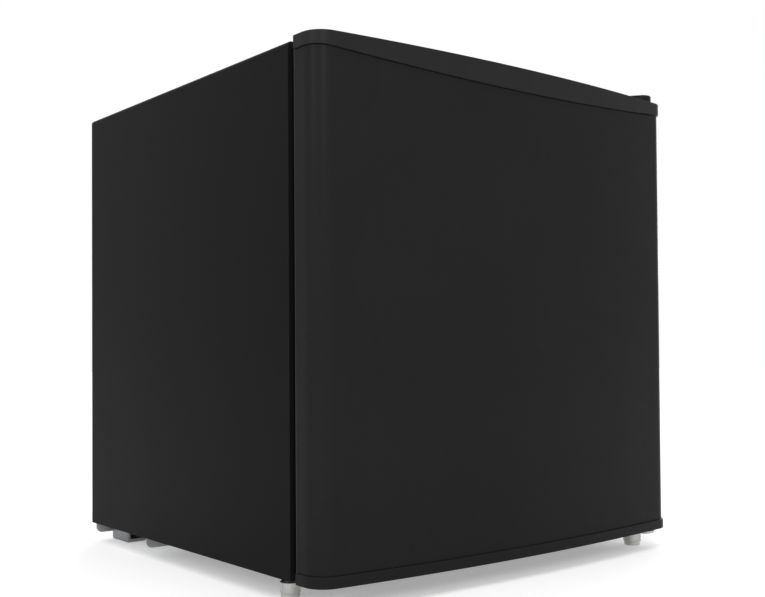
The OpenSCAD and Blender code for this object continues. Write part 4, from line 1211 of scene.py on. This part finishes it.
@dataclass(frozen=True)
class PanScrew:
    """Pan-head screw with a cross recess, its seat at zero and its head above.

    The shank and head are radii. The recess and the head's rim are shares of the head's radius and rise.
    """

    shank: float
    head: float
    rise: float
    length: float
    point: float = 1.5 * MM
    plain: float = 2.6 * MM
    pitch: float = 1.0 * MM
    root: float = 0.78
    rim_share: float = 0.35
    arm_share: float = 0.58
    slot_share: float = 0.13
    floor_share: float = 0.3
    sides: int = 28

    def mesh(self) -> bpy.types.Mesh:
        """Builds the screw, standing on its point.

        Returns:
            Its mesh.
        """
        rim = self.rise * self.rim_share
        dome = [
            (self.head * math.cos(a) ** 0.7, rim + (self.rise - rim) * math.sin(a))
            for a in (math.radians(step) for step in (0, 18, 36, 54, 72))
        ]
        height = -self.length + self.point
        crest = [(self.shank, height)]
        while height < -self.plain:
            crest += [(self.shank * self.root, height + self.pitch * 0.25), (self.shank, height + self.pitch * 0.6)]
            height += self.pitch
        profile = [(0.0, -self.length), *crest, (self.shank, 0.0), (self.head, 0.0), *dome, (0.0, self.rise)]
        tool = bmesh.new()
        arm, slot, floor = self.head * self.arm_share, self.head * self.slot_share, self.rise * self.floor_share
        for low, high in (((-arm, -slot, floor), (arm, slot, 1)), ((-slot, -arm, floor), (slot, arm, 1))):
            absorb(tool, block(low, high))
        return carved(spun(profile, self.sides), tool)


def screws(name: str, node: str, screw: PanScrew, upward: bool = False) -> None:
    """Replaces a CAD node of the cabinet's plain screws with detailed ones.

    Args:
        name: the piece's name.
        node: the CAD node, one solid for each screw.
        screw: the screw.
        upward: whether their heads are at the top.
    """
    bm, mesh = bmesh.new(), screw.mesh()
    first_turn, next_turn = 0.3, 0.9
    for number, (low, high) in enumerate(solids(node)):
        seat = (high.z - screw.rise) if upward else (low.z + screw.rise)
        place = Matrix.Translation(((low.x + high.x) / 2, (low.y + high.y) / 2, seat))
        flip = Matrix() if upward else Matrix.Rotation(math.pi, 4, "X")
        absorb(bm, mesh, place @ flip @ Matrix.Rotation(next_turn * number + first_turn, 4, "Z"))
    deliver(name, bm, Slot.NICKEL, Body.CABINET, [node])


@dataclass
class Assembly:
    """Sub-assembly of the fridge: eased copies of CAD nodes, dressed CAD nodes, and pieces of its own."""

    eased: dict[str, float] = field(default_factory=dict)
    dressed: Sequence[str] = ()

    def build(self) -> None:
        """Builds every piece of the sub-assembly."""
        for node, radius in self.eased.items():
            self.copy(node, radius * MM)
        for node in self.dressed:
            self.dress(node)
        self.details()

    def details(self) -> None:
        """Builds the pieces that are more than a copy of a CAD node."""

    def slot_of(self, node: str) -> Slot:
        """Returns the record's slot of a CAD node."""
        return Slot(frame["nodes"][node].data.materials[0].name.split(".")[0])

    def body_of(self, node: str) -> Body:
        """Returns the body that a CAD node rides on."""
        return Body(frame["nodes"][node]["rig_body"])

    def copy(self, node: str, radius: float, finish: Finish | None = None, where: EdgeTest | None = None) -> None:
        """Replaces a CAD node with a copy whose edges are eased.

        Args:
            node: the CAD node.
            radius: the rounding of its edges.
            finish: its finish, where that isn't its slot's own.
            where: picks the edges that are eased, among the sharp ones.
        """
        bm = merged(node)
        if radius:
            ease(bm, radius, where=where)
        deliver(f"{node}_eased", bm, self.slot_of(node), self.body_of(node), [node], finish)

    def dress(self, node: str, finish: Finish | None = None) -> None:
        """Gives a CAD node that stays its finish.

        Args:
            node: the CAD node.
            finish: its finish, where that isn't its slot's own.
        """
        slot = self.slot_of(node)
        item = frame["nodes"][node]
        item.data.materials[0] = (finish or FINISHES[slot]).dress()


@dataclass
class Cabinet(Assembly):
    """Wrapper, back, bottom, liner and foam."""

    eased: dict[str, float] = easing(
        cabinet_wrapper=0.25,
        bottom_panel=0.3,
        bay_panel=0.3,
        inner_liner=0.6,
        hinge_backing_plates=0.0,
        cabinet_hole_plugs=0.3,
        compressor_base_plate=0.25,
    )
    dressed: Sequence[str] = ("cabinet_insulation",)
    sole: float = 0.1 * MM
    sole_edge: float = 2.5 * MM
    panel_edge: float = 0.3 * MM

    def details(self) -> None:
        """Builds the rear feet, of a darker copy of the galvanised sheet and round below, and the back panel, of
        glossier paint.
        """
        sheet = replace(FINISHES[Slot.GALVANISED], name="rear_foot_sheet", colour="858789", dull="66686A")
        self.copy("rear_feet", self.sole_edge, sheet, short_of("Z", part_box("rear_feet")[0].z + self.sole))
        skin = FINISHES[Slot.BLACK_SKIN]
        paint = replace(skin, name="back_panel_paint", colour="1E1E1F", roughness=0.34, gloss=0.1)
        self.copy("back_panel", self.panel_edge, paint)


@dataclass
class Hinges(Assembly):
    """Top and bottom hinge brackets with their pins, screws, washer and cover."""

    eased: dict[str, float] = easing(
        top_hinge_bracket=0.4,
        bottom_hinge_bracket=0.4,
        top_hinge_cover=1.2,
        hinge_washer=0.3,
    )
    dressed: Sequence[str] = ("top_hinge_pin", "bottom_hinge_pin")
    screw: PanScrew = PanScrew(shank=2.5 * MM, head=4.5 * MM, rise=2.5 * MM, length=7.5 * MM)

    def details(self) -> None:
        """Builds the hinge screws."""
        screws("top_hinge_pan_screws", "top_hinge_screws", self.screw, upward=True)
        screws("bottom_hinge_pan_screws", "bottom_hinge_screws", self.screw)


@dataclass
class Feet(Assembly):
    """Levelling feet with knurled pads above a plain band, and threaded studs."""

    band: float = 4.0 * MM
    pad: float = 14.0 * MM
    step: float = 0.7 * MM
    tooth: float = 0.3 * MM
    stud: float = 4.0 * MM
    pitch: float = 1.25 * MM
    soft: float = 0.6 * MM
    root: float = 0.5 * MM
    ridge: float = 0.12 * MM
    shoulder: tuple[float, float] = (-0.3 * MM, 0.4 * MM)
    neck: float = 0.2 * MM
    sides: int = 60
    plate: Metal = Metal(
        "bright_nickel_plate", "B9B9B7", 0.34, dull="A5A39C", dust=0.05, stained=0.1, contrast=0.06, uneven=0.08
    )

    def details(self) -> None:
        """Builds both front feet."""
        self.foot("front_left_knurled_foot", "front_left_foot", Body.LEFT_FOOT)
        self.foot("front_right_knurled_foot", "front_right_foot", Body.RIGHT_FOOT)

    def foot(self, name: str, node: str, body: Body) -> None:
        """Builds one foot.

        Args:
            name: the piece's name.
            node: the CAD node that it stands for.
            body: the body that it rides on.
        """
        low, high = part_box(node)
        centre, rim = (low + high) / 2, (high.x - low.x) / 2
        grip, soft, rise = rim - self.tooth, self.soft, high.z - low.z
        waist = grip - self.step
        profile = [
            (0.0, 0.0),
            (waist - soft, 0.0),
            (waist, soft),
            (waist, self.band + self.shoulder[0]),
            (grip, self.band + self.shoulder[1]),
            (grip, self.pad - soft),
            (grip - soft, self.pad),
            (self.stud, self.pad),
        ]
        height = self.pad + self.neck
        while height + self.pitch < rise - self.root:
            profile += [(self.stud, height + 0.5 * self.pitch), (self.stud - self.root, height + self.pitch)]
            height += self.pitch
        profile += [(self.stud - soft, rise), (0.0, rise)]
        sole = Vector((centre.x, centre.y, low.z))
        bm = spun(profile, self.sides, sole)
        knurl = []
        for face in bm.faces:
            middle = face.calc_center_median() - sole
            upright = abs(face.normal.z) < 0.1 and self.band < middle.z < self.pad
            turn = math.atan2(middle.y, middle.x) / math.tau * self.sides
            if upright and int(math.floor(turn)) % 2 == 0 and math.hypot(middle.x, middle.y) > self.stud * 1.5:
                knurl.append(face)
        bmesh.ops.inset_individual(bm, faces=knurl, thickness=self.ridge, depth=self.tooth)
        deliver(name, bm, Slot.NICKEL, body, [node], self.plate)


@dataclass
class CoolingUnit(Assembly):
    """Compressor, its mounting and base plate screws, and the refrigerant tubes."""

    eased: dict[str, float] = easing(
        relay_cover=1.0,
        compressor_legs=0.3,
        compressor_grommets=0.5,
        cord_gland=0.3,
        grommet_bolts=0.2,
    )
    dressed: Sequence[str] = (
        "compressor_shell",
        "discharge_tube",
        "suction_tube",
        "process_tube",
        "condenser_tube",
        "filter_drier",
        "capillary_tube",
    )
    screw: PanScrew = PanScrew(shank=2.0 * MM, head=4.0 * MM, rise=2.5 * MM, length=6.5 * MM)
    bead: float = 1.3 * MM
    seam_rise: float = 63.5 * MM
    thick_tube: float = 3.5 * MM
    thin_tube: float = 2.5 * MM
    shell_setback: float = 3.0 * MM

    def details(self) -> None:
        """Builds the base plate's screws, the shell's weld bead and the brazed collars of its tubes."""
        screws("base_plate_pan_screws", "base_plate_screws", self.screw)
        low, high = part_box("compressor_shell")
        legs_low, legs_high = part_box("compressor_legs")
        axis = (legs_low + legs_high) / 2
        reach, seam = high.y - axis.y, low.z + self.seam_rise
        ring = [
            (reach - self.bead + self.bead * math.cos(a), self.bead * math.sin(a))
            for a in (math.radians(step) for step in range(-90, 91, 30))
        ]
        inside = reach - 4 * self.bead
        ring = [(inside, ring[0][1]), *ring, (inside, ring[-1][1])]
        bm = spun([(0.0, ring[0][1]), *ring, (0.0, ring[-1][1])], 64, Vector((axis.x, axis.y, seam)))
        deliver("compressor_weld_bead", bm, Slot.COMPRESSOR_PAINT, Body.CABINET)
        flare = [(0.0, 0.0), (2.0, 0.0), (1.75, 0.5), (1.35, 1.1), (1.15, 2.0), (1.1, 3.2), (0.0, 3.2)]
        collars = bmesh.new()
        for node, radius, way in (
            ("suction_tube", self.thick_tube, -AXES["X"]),
            ("discharge_tube", self.thin_tube, -AXES["X"]),
            ("process_tube", self.thin_tube, AXES["Y"]),
        ):
            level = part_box(node)[0].z + radius
            foot = Vector((axis.x, axis.y, level)) + way * (reach - self.shell_setback)
            absorb(collars, spun([(r * radius, h * radius) for r, h in flare], 24, foot, way))
        deliver("tube_braze_collars", collars, Slot.COPPER, Body.CABINET)


@dataclass
class FreezerBox(Assembly):
    """Freezer box with its channels, hangers, flap, rails and drip tray."""

    eased: dict[str, float] = easing(
        evaporator=0.3,
        evaporator_spacers=0.4,
        flap_brackets=0.5,
        freezer_flap=0.6,
        tray_rails=0.3,
        drip_tray=0.5,
    )
    screw: PanScrew = PanScrew(shank=2.0 * MM, head=4.5 * MM, rise=2.0 * MM, length=11.5 * MM)
    sheet: float = 2.0 * MM
    inset: float = 14.0 * MM
    margin: float = 15.0 * MM
    pitch: float = 20.0 * MM
    side_rows: int = 4
    top_rows: int = 6
    top_margin: float = 39.0 * MM
    top_pitch: float = 25.6 * MM
    bead: float = 2.1 * MM
    bend: float = 9.0 * MM

    def details(self) -> None:
        """Builds the hanger screws, and the flow channels that stand out from the box's walls."""
        screws("evaporator_pan_screws", "evaporator_screws", self.screw)
        low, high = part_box("evaporator")
        sheet, inset = self.sheet / 2, self.inset
        front, back = low.y + inset, high.y - inset
        side = self.serpentine([low.z + self.margin + i * self.pitch for i in range(self.side_rows)], front, back)
        tops = [low.x + self.top_margin + i * self.top_pitch for i in range(self.top_rows)]
        flat = self.serpentine(tops, front, back)
        paths = [[(x, y, z) for y, z in side] for x in (low.x + sheet, high.x - sheet)]
        paths += [[(x, y, z) for y, x in flat] for z in (low.z + sheet, high.z - sheet)]
        bm = bmesh.new()
        for path in paths:
            absorb(bm, tube_along(path, self.bead, self.bend))
        deliver("evaporator_channels", bm, Slot.ALUMINIUM, Body.CABINET, crease=80.0)

    @staticmethod
    def serpentine(rows: Sequence[float], start: float, end: float) -> list[tuple[float, float]]:
        """Lays a path to and fro.

        Args:
            rows: where its rows lie.
            start: where they begin.
            end: where they end.

        Returns:
            Its corners.
        """
        path: list[tuple[float, float]] = []
        for number, row in enumerate(rows):
            ends = (start, end) if number % 2 == 0 else (end, start)
            path += [(ends[0], row), (ends[1], row)]
        return path


@dataclass
class Shelf(Assembly):
    """Glass shelf with its two trims."""

    eased: dict[str, float] = easing(shelf_glass=0.5, shelf_front_trim=0.8, shelf_rear_trim=0.8)


@dataclass
class Thermostat(Assembly):
    """Thermostat housing, knob with its numbers, body, shaft, and feeler tube."""

    eased: dict[str, float] = easing(thermostat_housing=0.6, thermostat_body=0.5, thermostat_knob=0.6, bulb_clip=0.5)
    dressed: Sequence[str] = ("thermostat_shaft", "thermostat_bulb")
    numbers: int = 6
    spacing: float = 60.0
    ring: float = 17.0 * MM
    letter: float = 4.4 * MM
    skirt: float = 13.0 * MM
    print_rise: float = 0.06 * MM
    mark_size: tuple[float, float, float] = (1.9 * MM, 1.6 * MM, 0.4 * MM)
    mark_sink: float = 0.1 * MM
    mark_gap: float = 3.2 * MM
    ink: Moulding = Moulding(
        "printed_ink", "2B2D30", 0.5, grain=2400.0, depth=4 * MICRON, gloss=0.3, worn="3A3C40", dust=0.0
    )

    def details(self) -> None:
        """Builds the knob's numbers and the mark on the housing above it."""
        low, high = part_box("thermostat_knob")
        centre = (low + high) / 2
        stand = Matrix.Rotation(math.pi / 2, 4, "X")
        face = Matrix.Translation((centre.x, low.y + self.skirt, centre.z))
        bm = bmesh.new()
        for number in range(self.numbers):
            curve = bpy.data.curves.new("number", "FONT")
            curve.body, curve.size, curve.extrude = str(number), self.letter, self.print_rise
            curve.align_x, curve.align_y = "CENTER", "CENTER"
            mesh = evaluated(placed("number", curve))
            bpy.data.curves.remove(curve)
            turn = Matrix.Rotation(math.radians(-self.spacing * number), 4, "Y")
            absorb(bm, mesh, face @ turn @ Matrix.Translation((0, 0, self.ring)) @ stand)
            bpy.data.meshes.remove(mesh)
        bmesh.ops.remove_doubles(bm, verts=bm.verts, dist=HAIR)
        deliver("dial_numbers", bm, Slot.LINER_WHITE, Body.KNOB, finish=self.ink)
        mark = bmesh.new()
        wide, narrow, deep = self.mark_size
        bmesh.ops.create_cone(
            mark, cap_ends=True, cap_tris=False, segments=3, radius1=wide, radius2=narrow, depth=deep
        )
        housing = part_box("thermostat_housing")[0]
        place = Matrix.Translation((centre.x, housing.y - self.mark_sink, high.z + self.mark_gap))
        bmesh.ops.transform(mark, matrix=place @ stand @ Matrix.Rotation(math.pi, 4, "Z"), verts=mark.verts)
        deliver("dial_mark", mark, Slot.LINER_WHITE, Body.CABINET, finish=self.ink)


@dataclass
class Door(Assembly):
    """Door skin, caps, foam, liner, gasket, bottle rails and bushes."""

    eased: dict[str, float] = easing(
        gasket_magnets=0.2,
        hinge_bushes=0.4,
        upper_bottle_rail=0.8,
        lower_bottle_rail=0.8,
        door_hole_plugs=0.3,
    )
    skin_edge: float = 0.25 * MM
    cap_edge: float = 0.8 * MM
    liner_edge: float = 0.7 * MM
    rear_strip: float = 1.0 * MM
    low_tape: float = 8.0 * MM
    high_tape: float = 22.0 * MM
    rim: float = 2.0 * MM
    band: float = 18.0 * MM
    lip: float = 0.25 * MM
    long_edge: float = 0.3
    fold: Sequence[tuple[float, float]] = (
        (0.39, 0.0), (0.39, 0.12), (0.25, 0.2), (0.46, 0.36), (0.47, 0.48), (0.27, 0.6), (0.5, 0.7), (0.5, 0.95),
        (0.47, 1.0),
    )

    def build(self) -> None:
        """Builds the door, with painted shade on its foam along the caps' seams and on the outer band of its liner,
        painted light in a lighter door paint and a lighter top cap, and painted shade in a darker bottom cap.
        """
        super().build()
        skin_low, skin_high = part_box("door_skin")
        skin, plastic = FINISHES[Slot.BLACK_SKIN], FINISHES[Slot.BLACK_PLASTIC]
        # Painted light: the door's paint is a lighter copy of the cabinet's satin black, to make up for less light
        # on the door's front.
        paint = replace(skin, name="satin_black_door_lit_paint", colour="242425", roughness=0.27, gloss=0.023)
        self.copy("door_skin", self.skin_edge, paint, short_of("Y", skin_high.y - self.rear_strip))
        # Painted light and shade: the top cap is a lighter copy and the bottom cap a darker copy of the same black
        # plastic.
        self.copy("door_top_cap", self.cap_edge, replace(plastic, name="top_cap_lit_plastic", colour="2A2A2B"))
        self.copy("door_bottom_cap", self.cap_edge, replace(plastic, name="bottom_cap_shaded_plastic", colour="222223"))
        # Painted shade on the foam where it shows in the seams under the caps.
        tape = {"tape_low": skin_low.z + self.low_tape, "tape_high": skin_high.z - self.high_tape}
        self.dress("door_insulation", replace(FINISHES[Slot.FOAM], name="seam_shaded_foam", **tape))
        low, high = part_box("door_gasket")
        # Painted shade: the liner's outer band, seen in the door gap, is coloured near black.
        edge = {"rim": "141415", "rim_half": high.x - self.rim, "rim_centre": (low.z + high.z) / 2}
        white = replace(FINISHES[Slot.LINER_WHITE], name="gap_shaded_liner_plastic", gloss=0.12, **edge)
        self.copy("door_liner", self.liner_edge, white)

    def details(self) -> None:
        """Builds the gasket as four mitred bars with a folded bellows on both sides."""
        low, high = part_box("door_gasket")
        size, centre = high - low, (low + high) / 2
        outline = [*self.fold, *((-across, up) for across, up in reversed(self.fold))]
        bm = bmesh.new()
        for quarter in range(4):
            length, across = (size.x, size.z) if quarter % 2 else (size.z, size.x)
            half, out = length / 2, across / 2 - self.band / 2
            bar = bmesh.new()
            verts = [bar.verts.new((out + u * self.band, low.y + v * size.y - centre.y, -half)) for u, v in outline]
            face = bar.faces.new(verts)
            bmesh.ops.recalc_face_normals(bar, faces=[face])
            pulled = bmesh.ops.extrude_face_region(bar, geom=[face])["geom"]
            moved = [item for item in pulled if isinstance(item, bmesh.types.BMVert)]
            bmesh.ops.translate(bar, vec=(0, 0, length), verts=moved)
            for lean in (1, -1):
                bmesh.ops.bisect_plane(
                    bar,
                    geom=[*bar.verts, *bar.edges, *bar.faces],
                    dist=1e-7,
                    plane_co=(out + self.band / 2, 0, lean * half),
                    plane_no=(-1, 0, lean),
                    clear_outer=True,
                )
            absorb(bm, bar, Matrix.Translation(centre) @ Matrix.Rotation(quarter * math.tau / 4, 4, "Y"))
        bmesh.ops.remove_doubles(bm, verts=bm.verts, dist=0.01 * MM)
        bmesh.ops.recalc_face_normals(bm, faces=bm.faces)
        ease(bm, self.lip, angle=25.0, where=lambda edge: edge.calc_length() > self.long_edge)
        deliver("door_gasket_bellows", bm, Slot.RUBBER, Body.DOOR, ["door_gasket"])


@dataclass(frozen=True)
class Studio:
    """Pale floor, soft lamps, white surroundings, and the camera."""

    camera_at: tuple[float, float, float] = (-0.73585, -0.92067, 0.21956)
    yaw: float = 39.002
    pitch: float = 1.151
    roll: float = -0.383
    lens: float = 49.44
    shift: float = 0.03545
    fill: float = 0.45
    floor_lift: float = 0.35
    floor_radius: float = 9.0
    fade_from: float = 0.55
    fade_to: float = 1.1
    aim: tuple[float, float, float] = (0.0, 0.0, 0.3)

    def build(self) -> None:
        """Builds the studio."""
        self.set_camera()
        self.lay_floor()
        self.light_world()
        self.hang_lamps()
        bpy.context.scene.view_settings.view_transform = "Standard"
        log.info("studio ready")

    def set_camera(self) -> None:
        """Makes the camera and aims it."""
        yaw, pitch, roll = (math.radians(a) for a in (self.yaw, self.pitch, self.roll))
        forward = Vector((math.sin(yaw) * math.cos(pitch), math.cos(yaw) * math.cos(pitch), math.sin(pitch)))
        right = Vector((math.cos(yaw), -math.sin(yaw), 0.0))
        up = right.cross(forward)
        across = right * math.cos(roll) + up * math.sin(roll)
        above = up * math.cos(roll) - right * math.sin(roll)
        data = bpy.data.cameras.new("camera")
        data.lens, data.sensor_width, data.shift_y = self.lens, 36.0, self.shift
        data.clip_start, data.clip_end = 0.01, 50.0
        camera = placed("camera", data)
        turn = Matrix((across, above, -forward)).transposed().to_4x4()
        camera.matrix_world = Matrix.Translation(self.camera_at) @ turn
        bpy.context.scene.camera = camera

    def lay_floor(self) -> None:
        """Lays a pale floor that fades into the white around it."""
        bm = bmesh.new()
        bmesh.ops.create_circle(bm, cap_ends=True, cap_tris=False, segments=96, radius=self.floor_radius)
        floor = placed("floor", written("floor", bm))
        material = bpy.data.materials.new("pale_floor")
        w = blank(material)
        matte = w.add("BsdfDiffuse", {"Color": srgb("F4F4F4")})
        white = w.add("Emission", {"Color": (1, 1, 1), "Strength": 1.0})
        away = w.add("VectorMath", {0: w.place()}, operation="LENGTH").outputs["Value"]
        fade = w.step(away, self.fade_from, self.fade_to)
        path = w.add("LightPath").outputs
        eye = path["Is Camera Ray"]
        seen = w.most(eye, w.most(path["Is Glossy Ray"], path["Is Transmission Ray"]))
        mix = w.add("MixShader", {0: w.times(fade, seen), 1: matte.outputs[0], 2: white.outputs[0]})
        lift = w.add("Emission", {"Color": (1, 1, 1), "Strength": w.times(seen, self.floor_lift)})
        mix = w.add("AddShader", {0: mix.outputs[0], 1: lift.outputs[0]})
        below = w.times(w.add("NewGeometry").outputs["Backfacing"], eye)
        mix = w.add("MixShader", {0: below, 1: mix.outputs[0], 2: w.add("BsdfTransparent").outputs[0]})
        w.add("OutputMaterial", {0: mix.outputs[0]})
        floor.data.materials.append(material)

    def light_world(self) -> None:
        """Makes the surroundings white to the eye and in gloss, and softer as a light."""
        world = bpy.data.worlds.new("surroundings")
        bpy.context.scene.world = world
        w = blank(world)
        path = w.add("LightPath").outputs
        shown = w.most(path["Is Camera Ray"], path["Is Glossy Ray"])
        shown = w.most(shown, path["Is Transmission Ray"])
        strength = w.plus(w.times(shown, 1.0 - self.fill), self.fill)
        sky = w.add("Background", {"Color": (1, 1, 1), "Strength": strength})
        w.add("OutputWorld", {0: sky.outputs[0]})

    def hang_lamps(self) -> None:
        """Hangs the soft lamps round the fridge, each by its turn, reach and height, its size and its watts."""
        for name, turn, reach, rise, size, watts in (
            ("left_softbox", -76.6, 2.25, 1.25, (0.7, 0.75), 11.0),
            ("front_softbox", -28.8, 2.25, 1.25, (0.65, 0.75), 13.0),
            ("right_softbox", 112.0, 2.3, 1.0, (0.9, 1.2), 11.0),
            ("back_softbox", 152.0, 2.3, 0.9, (0.8, 1.0), 20.0),
        ):
            a = math.radians(turn)
            self.lamp(name, (reach * math.sin(a), -reach * math.cos(a), rise), size, watts)
        self.lamp("top_softbox", (-0.1, -0.2, 2.4), (2.6, 2.6), 26.0)

    def lamp(self, name: str, at: Sequence[float], size: tuple[float, float], watts: float) -> None:
        """Hangs one area lamp that faces the fridge's middle.

        Args:
            name: its name.
            at: where it hangs.
            size: its width and height.
            watts: its power.
        """
        data = bpy.data.lights.new(name, "AREA")
        data.shape, data.size, data.size_y, data.energy = "RECTANGLE", *size, watts
        lamp = placed(name, data)
        lamp.location = at
        lamp.rotation_mode = "QUATERNION"
        lamp.rotation_quaternion = (Vector(self.aim) - Vector(at)).to_track_quat("-Z", "Y")


def write_size() -> None:
    """Updates the view layer."""
    bpy.context.view_layer.update()


def main() -> None:
    """Builds the fridge's sub-assemblies and the studio."""
    logging.basicConfig(level=logging.INFO, format="%(name)s %(message)s")
    for assembly in (Cabinet(), Hinges(), Feet(), CoolingUnit(), FreezerBox(), Shelf(), Thermostat(), Door()):
        log.info("building %s", type(assembly).__name__)
        assembly.build()
    Studio().build()
    write_size()


if __name__ == "__main__":
    main()
